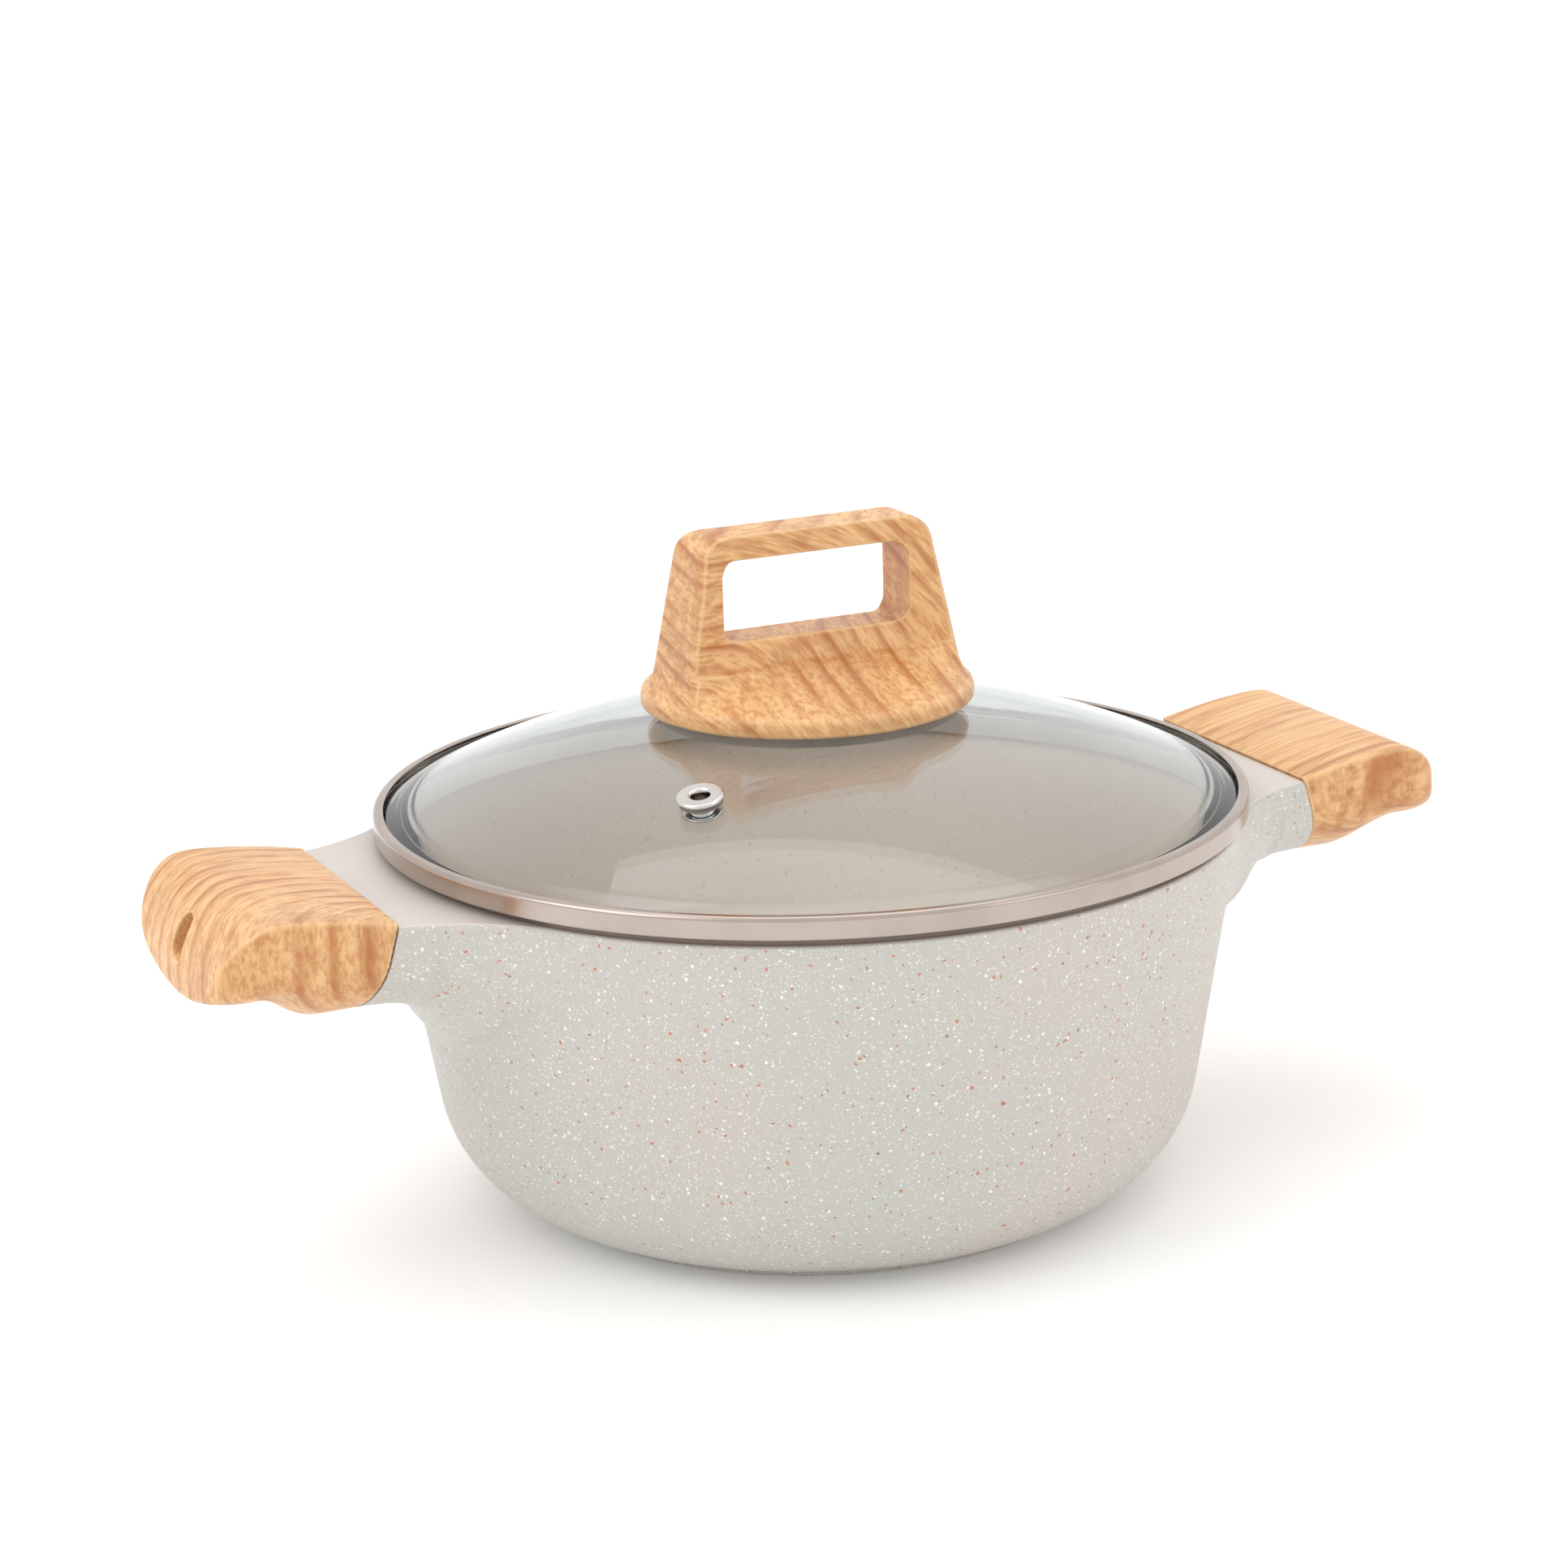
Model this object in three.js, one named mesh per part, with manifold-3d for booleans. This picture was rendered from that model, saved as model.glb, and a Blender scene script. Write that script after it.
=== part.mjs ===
// Two-handled saucepan with a glass lid: a cast body with wood-look handle sleeves, and a
// lid of tempered glass in a steel band with a wood-look bridge grip.
// Millimetres, +Z up. The origin is the middle of the base, on the floor. +X runs along
// the two handles.
import * as THREE from "three";
import { mergeVertices } from "three/addons/utils/BufferGeometryUtils.js";
import Module from "manifold-3d";

const wasm = await Module();
wasm.setup();

// ---------------------------------------------------------------- driving dimensions

const ROUND_STEPS = 56; // facets round a large turned piece
const GRIP_STEPS = 40; // facets round the lid grip's base
const SMALL_STEPS = 16; // facets round a screw, washer or eyelet
const TOUCH_GAP = 0.3; // air left between pieces that rest on each other

// Cast body.
const RIM_HEIGHT = 108; // flat top of the wall and of both necks
const RIM_RADIUS = 122.8; // outside of the wall at that height
const WALL_DRAFT = THREE.MathUtils.degToRad(9.5);
const WALL = 3.5;
const CORNER_RADIUS = 37; // outside, between the wall and the base
const FLOOR_THICKNESS = 4.5;
const FOOT_RADIUS = RIM_RADIUS - 40.8; // of the foot ring
const FOOT_HEIGHT = 1.6;
const BEAD_HEIGHT = 2; // raised seat for the lid, on the inner edge of the rim
const BEAD_WIDTH = 2.2;

// Steel disc let into the underside.
const DISC_RADIUS = FOOT_RADIUS - 8;
const DISC_THICKNESS = 1.2;

// Necks, cast in one piece with the body.
const JOINT_X = RIM_RADIUS + 16.8; // where the neck ends and the sleeve begins
const JOINT_LEAN = 0.283; // how far the joint face leans out, per unit of height downwards
const NECK_WAIST = 40.2; // half its width at the foot of the two side curves
const NECK_DEPTH = 30; // from the flat top to the lowest point
const NECK_SIDE_DEPTH = 8; // straight part of the side, before it rounds under
const NECK_PLAN_FILLET = 60; // side curve that runs into the rim
const NECK_UNDER_FILLET = 14; // where its underside runs into the wall
const NECK_FILLET_SHARE = 0.98; // of that fillet, so that it stops short of upright
const NECK_ROOT = 0.8; // share of the rim radius at which the neck starts, inside the wall
const TOP_EDGE_RADIUS = 1.6;
const TANG_LENGTH = 26; // it ends in the finger pocket
const TANG_WIDTH = 40;
const TANG_THICKNESS = 10;
const TANG_DROP = 8; // from the neck's top down to the tang's top

// Handle sleeves.
const SLEEVE_LENGTH = 50.4;
const SLEEVE_PROUD = 1; // step up from the neck's top
const SLEEVE_RISE = 4.6; // how far the top climbs from there to its crest
const SLEEVE_CREST = 33; // from the joint to the crest
const SLEEVE_CLIMB_POWER = 1.5; // how gently the climb runs out at the crest
const SLEEVE_END_DROP = 22.5; // how far the top rolls down to the end
const SLEEVE_UNDER_RISE = 8.8; // how far the underside climbs from the joint to the end
const SLEEVE_UNDER_START = 12; // where that climb begins and ends, from the joint
const SLEEVE_UNDER_END = 36;
const SLEEVE_SIDE_DROP = 2.5; // how far the straight side deepens towards the end
const SLEEVE_CORNER = 13; // in plan, at the outer corners
const SLEEVE_STATIONS = 13;
const TANG_CLEARANCE = 0.35;
const POCKET_LENGTH = 17; // finger pocket in the underside
const POCKET_WIDTH = 42;
const POCKET_ROOF = 6; // material left above it, under the crest
const POCKET_END_WALL = 8; // material left between it and the end
const HANG_SLOT_WIDTH = 8.6;
const HANG_SLOT_HEIGHT = 12.6;
const HANG_SLOT_DROP = 5.8; // from the crest down to the slot's top

// Sleeve screws, driven up from below into the tangs.
const SLEEVE_SCREW_X = 17; // from the joint
const SLEEVE_SCREW_RADIUS = 2;
const SLEEVE_SCREW_HEAD_RADIUS = 3.8;
const SLEEVE_SCREW_HEAD_HEIGHT = 2.6;
const SLEEVE_SCREW_SEAT = 4.5; // sleeve material between the head and the tang socket
const SCREW_CLEARANCE = 0.4;

// Lid band.
const BAND_RADIUS = RIM_RADIUS + 2.2; // it just covers the rim
const BAND_HEIGHT = 6.3;
const BAND_SHEET = 0.6;
const BAND_ROLL = 1.4; // outside radius of its rolled top edge
const BAND_LIP = 3; // how far the rolled top reaches in over the glass
const SKIRT_CLEARANCE = 2.2; // play between the locating skirt and the wall
const SKIRT_DEPTH = 5.5;

// Lid glass.
const GLASS_THICKNESS = 4;
const GLASS_EASE = 0.8; // taken off its upper edge
const GLASS_FIT = 0.25; // air round the glass edge, inside the band
const DOME_RISE = 27.3;
const DOME_POWER = 2.1; // 2 is a parabola; more is flatter on top and steeper at the edge
const GLASS_HOLE_RADIUS = 4.4;

// Steam vent.
const VENT_FROM_AXIS = 76;
const VENT_ANGLE = THREE.MathUtils.degToRad(-137.4);
const VENT_FLANGE_RADIUS = 6.6;
const VENT_FLANGE_HEIGHT = 1.5;
const VENT_TUBE_RADIUS = 3.3;
const VENT_BORE_RADIUS = 2.3;
const VENT_FOOT_RADIUS = 5.4;
const VENT_FOOT_HEIGHT = 0.8;
const VENT_WASHER_RADIUS = 6.1;
const VENT_WASHER_THICKNESS = 0.9;

// Lid grip: a round base and a bridge over it.
const GRIP_BASE_RADIUS = 47.5;
const GRIP_BASE_SIDE = 5.8;
const GRIP_CREASE_RISE = 7.4; // how far the base's top climbs from its side to the bridge
const GRIP_BASE_EDGE = 2.4;
const GRIP_HEIGHT = 51; // from the underside to the top of the bridge
const GRIP_TOP_LENGTH = 70;
const GRIP_FOOT_LENGTH = 85.6; // bridge, where it meets the base
const GRIP_TOP_WIDTH = 21;
const GRIP_FOOT_WIDTH = 31;
const GRIP_WAIST_WIDTH = 15; // of the bars beside the opening, thinner than the corners
const GRIP_END_ROUND = 6; // from the top down to the end faces
const GRIP_SIDE_ROUND = 3; // from the top down to the front and back faces
const GRIP_CORNER = 3; // between the end faces and the front and back faces
const OPENING_LENGTH = 57.4;
const OPENING_HEIGHT = 23;
const OPENING_TOP_BAR = 7; // material above the opening
const OPENING_CORNER = 4.5;
const GRIP_LIFT = 0.4; // from the top of the dome to the grip's underside

// Seat ring, insert and screw that hold the grip.
const SEAT_OUTER_RADIUS = 43;
const SEAT_INNER_RADIUS = 31;
const GRIP_SHELL = 4; // wall left round the hollow in the grip's underside
const BOSS_RADIUS = 10;
const HOLLOW_HEIGHT = 5;
const INSERT_RADIUS = 4.2;
const INSERT_LENGTH = 12;
const LID_SCREW_RADIUS = 2.4;
const LID_SCREW_LENGTH = 17;
const LID_SCREW_HEAD_RADIUS = 5;
const LID_SCREW_HEAD_HEIGHT = 2.6;
const THREAD_CLEARANCE = 0.3;
const WASHER_RADIUS = 8;
const WASHER_THICKNESS = 1;
const GASKET_RADIUS = 9;
const GASKET_THICKNESS = 1.6;

// ---------------------------------------------------------------- sizes that follow

const sleeveEndX = JOINT_X + SLEEVE_LENGTH;
const crestX = JOINT_X + SLEEVE_CREST;
const jointTop = RIM_HEIGHT + SLEEVE_PROUD;
const crestHeight = jointTop + SLEEVE_RISE;
const neckBottom = RIM_HEIGHT - NECK_DEPTH;
const neckSide = RIM_HEIGHT - NECK_SIDE_DEPTH;
const tangTop = RIM_HEIGHT - TANG_DROP;
const tangBottom = tangTop - TANG_THICKNESS;

const bandBottom = RIM_HEIGHT + BEAD_HEIGHT + TOUCH_GAP;
const bandTop = bandBottom + BAND_HEIGHT;
const skirtOuter = RIM_RADIUS - WALL - SKIRT_CLEARANCE;
const skirtInner = skirtOuter - BAND_SHEET;
const glassEdgeRadius = BAND_RADIUS - BAND_SHEET - GLASS_FIT;
const glassBottom = bandBottom + BAND_SHEET + GLASS_FIT;
const glassRimTop = glassBottom + GLASS_THICKNESS;
const domeRadius = BAND_RADIUS - BAND_LIP - GLASS_FIT;
const domeTop = glassRimTop + DOME_RISE;

const gripBottom = domeTop + GRIP_LIFT;
const gripTop = gripBottom + GRIP_HEIGHT;
const openingTop = gripTop - OPENING_TOP_BAR;
const openingBottom = openingTop - OPENING_HEIGHT;

// ---------------------------------------------------------------- helpers

const finishes = {
  coating: new THREE.MeshStandardMaterial({ color: 0xd5d3ce, roughness: 0.55, metalness: 0 }),
  wood: new THREE.MeshStandardMaterial({ color: 0xdeab78, roughness: 0.5, metalness: 0 }),
  steel: new THREE.MeshStandardMaterial({ color: 0xcfc6c0, roughness: 0.25, metalness: 1 }),
  brass: new THREE.MeshStandardMaterial({ color: 0xc9a45c, roughness: 0.35, metalness: 1 }),
  silicone: new THREE.MeshStandardMaterial({ color: 0x45423f, roughness: 0.8, metalness: 0 }),
  glass: new THREE.MeshStandardMaterial({
    color: 0xdfe8ea,
    roughness: 0.05,
    metalness: 0,
    transparent: true,
    opacity: 0.35,
  }),
};

function point(radius, height) {
  return new THREE.Vector2(radius, height);
}

// Points on a circular arc in a profile, from one angle to another, in degrees.
function arc(centreRadius, centreHeight, radius, from, to, steps) {
  return Array.from({ length: steps + 1 }, (_, i) => {
    const a = THREE.MathUtils.degToRad(from + ((to - from) * i) / steps);
    return point(centreRadius + radius * Math.cos(a), centreHeight + radius * Math.sin(a));
  });
}

// A solid turned about the Z axis. The profile runs anticlockwise as (radius, height).
function turned(profile, steps) {
  const onAxis = profile[0].x === 0 && profile.at(-1).x === 0;
  const closed = onAxis ? profile : [...profile, profile[0].clone()];
  return new THREE.LatheGeometry(closed, steps).rotateX(Math.PI / 2);
}

// A ring of rectangular section.
function ring(inner, outer, bottom, top, steps) {
  return turned(
    [point(inner, bottom), point(outer, bottom), point(outer, top), point(inner, top)],
    steps,
  );
}

// A solid through sections that all have the same number of points. Each section is a
// list of Vector3; the first and the last one are filled from their own middle.
function lofted(sections) {
  const count = sections[0].length;
  const middles = [sections[0], sections.at(-1)].map((section) =>
    section.reduce((sum, p) => sum.add(p), new THREE.Vector3()).divideScalar(count),
  );
  const positions = [...sections.flat(), ...middles].flatMap((p) => [p.x, p.y, p.z]);
  const last = (sections.length - 1) * count;
  const firstMiddle = sections.length * count;
  const index = [];
  for (let i = 0; i < count; i++) {
    const j = (i + 1) % count;
    for (let start = 0; start < last; start += count) {
      const a = start + i;
      const b = start + j;
      index.push(a, b, b + count, a, b + count, a + count);
    }
    index.push(firstMiddle, j, i, firstMiddle + 1, last + i, last + j);
  }
  const geometry = new THREE.BufferGeometry();
  geometry.setAttribute("position", new THREE.Float32BufferAttribute(positions, 3));
  geometry.setIndex(index);
  return geometry;
}

function toSolid(geometry) {
  const bare = geometry.clone();
  bare.deleteAttribute("normal");
  bare.deleteAttribute("uv");
  const merged = mergeVertices(bare, 1e-4);
  const vertProperties = merged.attributes.position.array;
  const triVerts = new Uint32Array(merged.index.array);
  const solid = new wasm.Manifold(new wasm.Mesh({ numProp: 3, vertProperties, triVerts }));
  if (solid.volume() > 0) return solid;
  for (let i = 0; i < triVerts.length; i += 3) {
    const kept = triVerts[i + 1];
    triVerts[i + 1] = triVerts[i + 2];
    triVerts[i + 2] = kept;
  }
  return new wasm.Manifold(new wasm.Mesh({ numProp: 3, vertProperties, triVerts }));
}

function toGeometry(solid) {
  const mesh = solid.getMesh();
  const geometry = new THREE.BufferGeometry();
  geometry.setAttribute("position", new THREE.BufferAttribute(mesh.vertProperties, 3));
  geometry.setIndex(new THREE.BufferAttribute(mesh.triVerts, 1));
  geometry.computeVertexNormals();
  return geometry;
}

function box(lengthX, widthY, heightZ, x, y, z) {
  return toSolid(new THREE.BoxGeometry(lengthX, widthY, heightZ).translate(x, y, z));
}

function named(name, shape, finish) {
  const geometry = shape instanceof THREE.BufferGeometry ? shape : toGeometry(shape);
  const mesh = new THREE.Mesh(geometry, finish);
  mesh.name = name;
  return mesh;
}

// A turned copy of a solid, for the side that faces -X.
function turnedRound(solid) {
  return solid.rotate([0, 0, 180]);
}

// ---------------------------------------------------------------- cast body

// Outside or inside of the wall: the radius at a height, offset inwards by the wall.
function wallRadius(height, inset) {
  return RIM_RADIUS - inset / Math.cos(WALL_DRAFT) - (RIM_HEIGHT - height) * Math.tan(WALL_DRAFT);
}

// The big bottom corner, from the base up to where it meets the straight wall.
function cornerArc(bottom, radius, inset, from, steps) {
  const centreHeight = bottom + radius;
  const centre = wallRadius(centreHeight, inset) - radius / Math.cos(WALL_DRAFT);
  const to = -THREE.MathUtils.radToDeg(WALL_DRAFT);
  return arc(centre, centreHeight, radius, from(centre), to, steps);
}

function bodyOutside() {
  const startAngle = (centre) =>
    -THREE.MathUtils.radToDeg(Math.acos((FOOT_RADIUS - centre) / CORNER_RADIUS));
  const corner = cornerArc(FOOT_HEIGHT / 2, CORNER_RADIUS, 0, startAngle, 7);
  const beadOuter = RIM_RADIUS - WALL + BEAD_WIDTH;
  return turned(
    [
      point(0, 0),
      point(FOOT_RADIUS, 0),
      ...corner,
      point(RIM_RADIUS, RIM_HEIGHT - TOP_EDGE_RADIUS / 2),
      point(RIM_RADIUS - TOP_EDGE_RADIUS / 2, RIM_HEIGHT),
      point(beadOuter, RIM_HEIGHT),
      point(beadOuter, RIM_HEIGHT + BEAD_HEIGHT - BEAD_WIDTH / 4),
      point(beadOuter - BEAD_WIDTH / 4, RIM_HEIGHT + BEAD_HEIGHT),
      point(0, RIM_HEIGHT + BEAD_HEIGHT),
    ],
    ROUND_STEPS,
  );
}

function bodyInside() {
  const corner = cornerArc(FLOOR_THICKNESS, CORNER_RADIUS - WALL, WALL, () => -90, 6);
  return turned(
    [
      point(0, FLOOR_THICKNESS),
      ...corner,
      point(wallRadius(RIM_HEIGHT + BEAD_HEIGHT + 1, WALL), RIM_HEIGHT + BEAD_HEIGHT + 1),
      point(0, RIM_HEIGHT + BEAD_HEIGHT + 1),
    ],
    ROUND_STEPS,
  );
}

// The section that neck and sleeve share: a flat top with eased edges, straight sides and
// a half-elliptic underside. It is a list of Vector3 in a plane through x at the rim's
// height, which leans out by the given share of the depth below the rim.
function handleSection(x, lean, halfWidth, top, side, bottom) {
  const edge = TOP_EDGE_RADIUS;
  const steps = 10;
  const corner = arc(halfWidth - edge, top - edge, edge, 90, 0, 2);
  const under = Array.from({ length: steps + 1 }, (_, i) => {
    const a = (Math.PI * i) / steps;
    return point(halfWidth * Math.cos(a), side - (side - bottom) * Math.sin(a));
  });
  const otherCorner = corner.map((p) => point(-p.x, p.y)).reverse();
  const outline = [...corner, ...under, ...otherCorner].reverse();
  return outline.map((p) => new THREE.Vector3(x + lean * (RIM_HEIGHT - p.y), p.x, p.y));
}

// Half the neck's width: a side curve tangent to the rim circle, and inside that circle
// from there inwards.
function neckHalfWidth(x) {
  const level = NECK_WAIST + NECK_PLAN_FILLET;
  const span = RIM_RADIUS + NECK_PLAN_FILLET;
  const filletX = Math.sqrt(span ** 2 - level ** 2);
  const tangentX = (filletX * RIM_RADIUS) / span;
  if (x < tangentX) return Math.sqrt((RIM_RADIUS - 1) ** 2 - x ** 2);
  return level - Math.sqrt(NECK_PLAN_FILLET ** 2 - (filletX - x) ** 2);
}

// The neck's underside: level with the sleeve's at the joint, then a fillet down the wall.
function neckUnderside(x) {
  const filletX = wallRadius(neckBottom - NECK_UNDER_FILLET, 0) + NECK_UNDER_FILLET;
  const inwards = Math.min(Math.max(filletX - x, 0), NECK_UNDER_FILLET * NECK_FILLET_SHARE);
  return neckBottom - NECK_UNDER_FILLET + Math.sqrt(NECK_UNDER_FILLET ** 2 - inwards ** 2);
}

function neck() {
  const inner = RIM_RADIUS * NECK_ROOT;
  const stations = 11;
  const sections = Array.from({ length: stations + 1 }, (_, i) => {
    const share = i / stations;
    const x = inner + (JOINT_X - inner) * share;
    const lean = JOINT_LEAN * share;
    return handleSection(x, lean, neckHalfWidth(x), RIM_HEIGHT, neckSide, neckUnderside(x));
  });
  return toSolid(lofted(sections));
}

function tang() {
  const root = 12; // how far it reaches back into the neck
  const middle = (tangTop + tangBottom) / 2;
  const length = TANG_LENGTH + root;
  const bar = box(length, TANG_WIDTH, TANG_THICKNESS, JOINT_X + length / 2 - root, 0, middle);
  const depth = SLEEVE_SCREW_RADIUS * 4;
  const hole = new THREE.CylinderGeometry(
    SLEEVE_SCREW_RADIUS + SCREW_CLEARANCE,
    SLEEVE_SCREW_RADIUS + SCREW_CLEARANCE,
    depth,
    SMALL_STEPS,
  );
  hole.rotateX(Math.PI / 2).translate(JOINT_X + SLEEVE_SCREW_X, 0, tangBottom + depth / 2 - 1);
  return bar.subtract(toSolid(hole));
}

function potBody() {
  const arm = neck().add(tang());
  const recess = toSolid(
    turned(
      [
        point(0, -1),
        point(DISC_RADIUS + TOUCH_GAP, -1),
        point(DISC_RADIUS + TOUCH_GAP, DISC_THICKNESS + TOUCH_GAP),
        point(0, DISC_THICKNESS + TOUCH_GAP),
      ],
      ROUND_STEPS,
    ),
  );
  return toSolid(bodyOutside())
    .add(arm)
    .add(turnedRound(arm))
    .subtract(toSolid(bodyInside()))
    .subtract(recess);
}

function baseDisc() {
  return turned(
    [
      point(0, 0),
      point(DISC_RADIUS, 0),
      point(DISC_RADIUS, DISC_THICKNESS),
      point(0, DISC_THICKNESS),
    ],
    ROUND_STEPS,
  );
}

// ---------------------------------------------------------------- handle sleeves

// The sleeve's top, before its end is rolled over.
function sleeveTop(x) {
  const climb = Math.max(crestX - x, 0) / SLEEVE_CREST;
  return crestHeight - SLEEVE_RISE * Math.min(climb, 1) ** SLEEVE_CLIMB_POWER;
}

// Everything under the quarter ellipse that rolls the top over into the end.
function sleeveRoll() {
  const steps = 9;
  const outline = Array.from({ length: steps + 1 }, (_, i) => {
    const a = ((Math.PI / 2) * i) / steps;
    const x = crestX + (sleeveEndX - crestX) * Math.sin(a);
    return point(x, crestHeight + TOUCH_GAP - (SLEEVE_END_DROP + TOUCH_GAP) * (1 - Math.cos(a)));
  });
  const low = neckBottom - 1;
  const shape = new THREE.Shape([
    point(JOINT_X, crestHeight + TOUCH_GAP),
    ...outline,
    point(sleeveEndX, low),
    point(JOINT_X, low),
  ]);
  const depth = NECK_WAIST * 3;
  const bar = new THREE.ExtrudeGeometry(shape, { depth, bevelEnabled: false });
  return toSolid(bar.rotateX(Math.PI / 2).translate(0, depth / 2, 0));
}

function sleeveHalfWidth(x) {
  const into = Math.max(x - (sleeveEndX - SLEEVE_CORNER), 0);
  const square = Math.max(SLEEVE_CORNER ** 2 - into ** 2, 0);
  return neckHalfWidth(JOINT_X) - SLEEVE_CORNER + Math.sqrt(square);
}

function sleeveBody() {
  const start = JOINT_X + TOUCH_GAP;
  const underStart = JOINT_X + SLEEVE_UNDER_START;
  const underEnd = JOINT_X + SLEEVE_UNDER_END;
  const sections = Array.from({ length: SLEEVE_STATIONS + 1 }, (_, i) => {
    // Stations crowd towards the end, where the corners round off in plan.
    const along = Math.sin(((Math.PI / 2) * i) / SLEEVE_STATIONS);
    const x = start + (sleeveEndX - start) * along;
    const climb = THREE.MathUtils.smoothstep(x, underStart, underEnd);
    const bottom = neckBottom + SLEEVE_UNDER_RISE * climb;
    const side = neckSide - SLEEVE_SIDE_DROP * along;
    const lean = JOINT_LEAN * (1 - along);
    return handleSection(x, lean, sleeveHalfWidth(x), sleeveTop(x), side, bottom);
  });
  return toSolid(lofted(sections)).intersect(sleeveRoll());
}

// A rounded rectangle extruded through a depth, standing on the XY plane.
function roundedBar(length, width, corner, depth) {
  const shape = new THREE.Shape();
  const x = length / 2;
  const y = width / 2;
  shape.moveTo(-x + corner, -y);
  shape.lineTo(x - corner, -y);
  shape.absarc(x - corner, -y + corner, corner, -Math.PI / 2, 0, false);
  shape.lineTo(x, y - corner);
  shape.absarc(x - corner, y - corner, corner, 0, Math.PI / 2, false);
  shape.lineTo(-x + corner, y);
  shape.absarc(-x + corner, y - corner, corner, Math.PI / 2, Math.PI, false);
  shape.lineTo(-x, -y + corner);
  shape.absarc(-x + corner, -y + corner, corner, Math.PI, Math.PI * 1.5, false);
  return new THREE.ExtrudeGeometry(shape, { depth, bevelEnabled: false, curveSegments: 5 });
}

function fingerPocket() {
  const roof = crestHeight - POCKET_ROOF;
  const depth = roof - neckBottom + 1;
  const middleX = sleeveEndX - POCKET_END_WALL - POCKET_LENGTH / 2;
  const bar = roundedBar(POCKET_LENGTH, POCKET_WIDTH, POCKET_LENGTH / 3, depth);
  return toSolid(bar.translate(middleX, 0, roof - depth));
}

function hangSlot() {
  const reach = POCKET_END_WALL + POCKET_LENGTH / 2;
  const corner = HANG_SLOT_WIDTH / 2 - 0.01;
  const bar = roundedBar(HANG_SLOT_HEIGHT, HANG_SLOT_WIDTH, corner, reach + 1);
  const middle = crestHeight - HANG_SLOT_DROP - HANG_SLOT_HEIGHT / 2;
  return toSolid(bar.rotateY(Math.PI / 2).translate(sleeveEndX - reach, 0, middle));
}

function sleeveSocket() {
  const gap = TANG_CLEARANCE;
  const length = TANG_LENGTH + 2 * gap + 1;
  const middle = (tangTop + tangBottom) / 2;
  const height = TANG_THICKNESS + 2 * gap;
  return box(length, TANG_WIDTH + 2 * gap, height, JOINT_X + length / 2 - 1, 0, middle);
}

function screwHeadTop() {
  return tangBottom - TANG_CLEARANCE - SLEEVE_SCREW_SEAT;
}

function sleeveScrewHole() {
  const through = roundBore(SLEEVE_SCREW_RADIUS + SCREW_CLEARANCE, screwHeadTop() - 1, tangBottom);
  const head = roundBore(
    SLEEVE_SCREW_HEAD_RADIUS + SCREW_CLEARANCE,
    neckBottom - 2,
    screwHeadTop(),
  );
  return through.add(head).translate([JOINT_X + SLEEVE_SCREW_X, 0, 0]);
}

function roundBore(radius, bottom, top) {
  const rod = new THREE.CylinderGeometry(radius, radius, top - bottom, SMALL_STEPS);
  return toSolid(rod.rotateX(Math.PI / 2).translate(0, 0, (top + bottom) / 2));
}

function handleSleeve() {
  return sleeveBody()
    .subtract(sleeveSocket())
    .subtract(fingerPocket())
    .subtract(hangSlot())
    .subtract(sleeveScrewHole());
}

// A pan-head screw standing head down, with a cross recess. The head's upper face is at
// headTop and the thread reaches up from there.
function panScrew(radius, length, headRadius, headHeight, headTop) {
  const bottom = headTop - headHeight;
  const body = toSolid(
    turned(
      [
        point(0, bottom),
        point(headRadius * 0.75, bottom),
        point(headRadius, bottom + headHeight * 0.5),
        point(headRadius, headTop),
        point(radius, headTop),
        point(radius, headTop + length - radius),
        point(radius * 0.5, headTop + length),
        point(0, headTop + length),
      ],
      SMALL_STEPS,
    ),
  );
  const slotLength = headRadius * 1.1;
  const slotWidth = headRadius * 0.28;
  const deep = headHeight * 0.6;
  const cross = box(slotLength, slotWidth, deep * 2, 0, 0, bottom).add(
    box(slotWidth, slotLength, deep * 2, 0, 0, bottom),
  );
  return body.subtract(cross);
}

function sleeveScrew() {
  const length = tangBottom - screwHeadTop() + TANG_THICKNESS / 2;
  return panScrew(
    SLEEVE_SCREW_RADIUS,
    length,
    SLEEVE_SCREW_HEAD_RADIUS,
    SLEEVE_SCREW_HEAD_HEIGHT,
    screwHeadTop() - TOUCH_GAP,
  ).translate([JOINT_X + SLEEVE_SCREW_X, 0, 0]);
}

// ---------------------------------------------------------------- lid

function lidBand() {
  const sheet = BAND_SHEET;
  const lipInner = BAND_RADIUS - BAND_LIP;
  const roll = BAND_ROLL;
  return turned(
    [
      point(skirtInner, bandBottom - SKIRT_DEPTH),
      point(skirtOuter, bandBottom - SKIRT_DEPTH),
      point(skirtOuter, bandBottom),
      point(BAND_RADIUS - sheet, bandBottom),
      point(BAND_RADIUS, bandBottom + sheet),
      ...arc(BAND_RADIUS - roll, bandTop - roll, roll, 0, 90, 3),
      point(lipInner + sheet / 2, bandTop),
      point(lipInner, bandTop - sheet / 2),
      point(lipInner, bandTop - sheet),
      point(BAND_RADIUS - roll, bandTop - sheet),
      point(BAND_RADIUS - sheet, bandTop - roll),
      point(BAND_RADIUS - sheet, bandBottom + sheet),
      point(skirtInner, bandBottom + sheet),
    ],
    ROUND_STEPS,
  );
}

// Height of the dome's upper face at a distance from the axis.
function domeHeight(radius) {
  return glassRimTop + DOME_RISE * (1 - Math.min(radius / domeRadius, 1) ** DOME_POWER);
}

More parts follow.
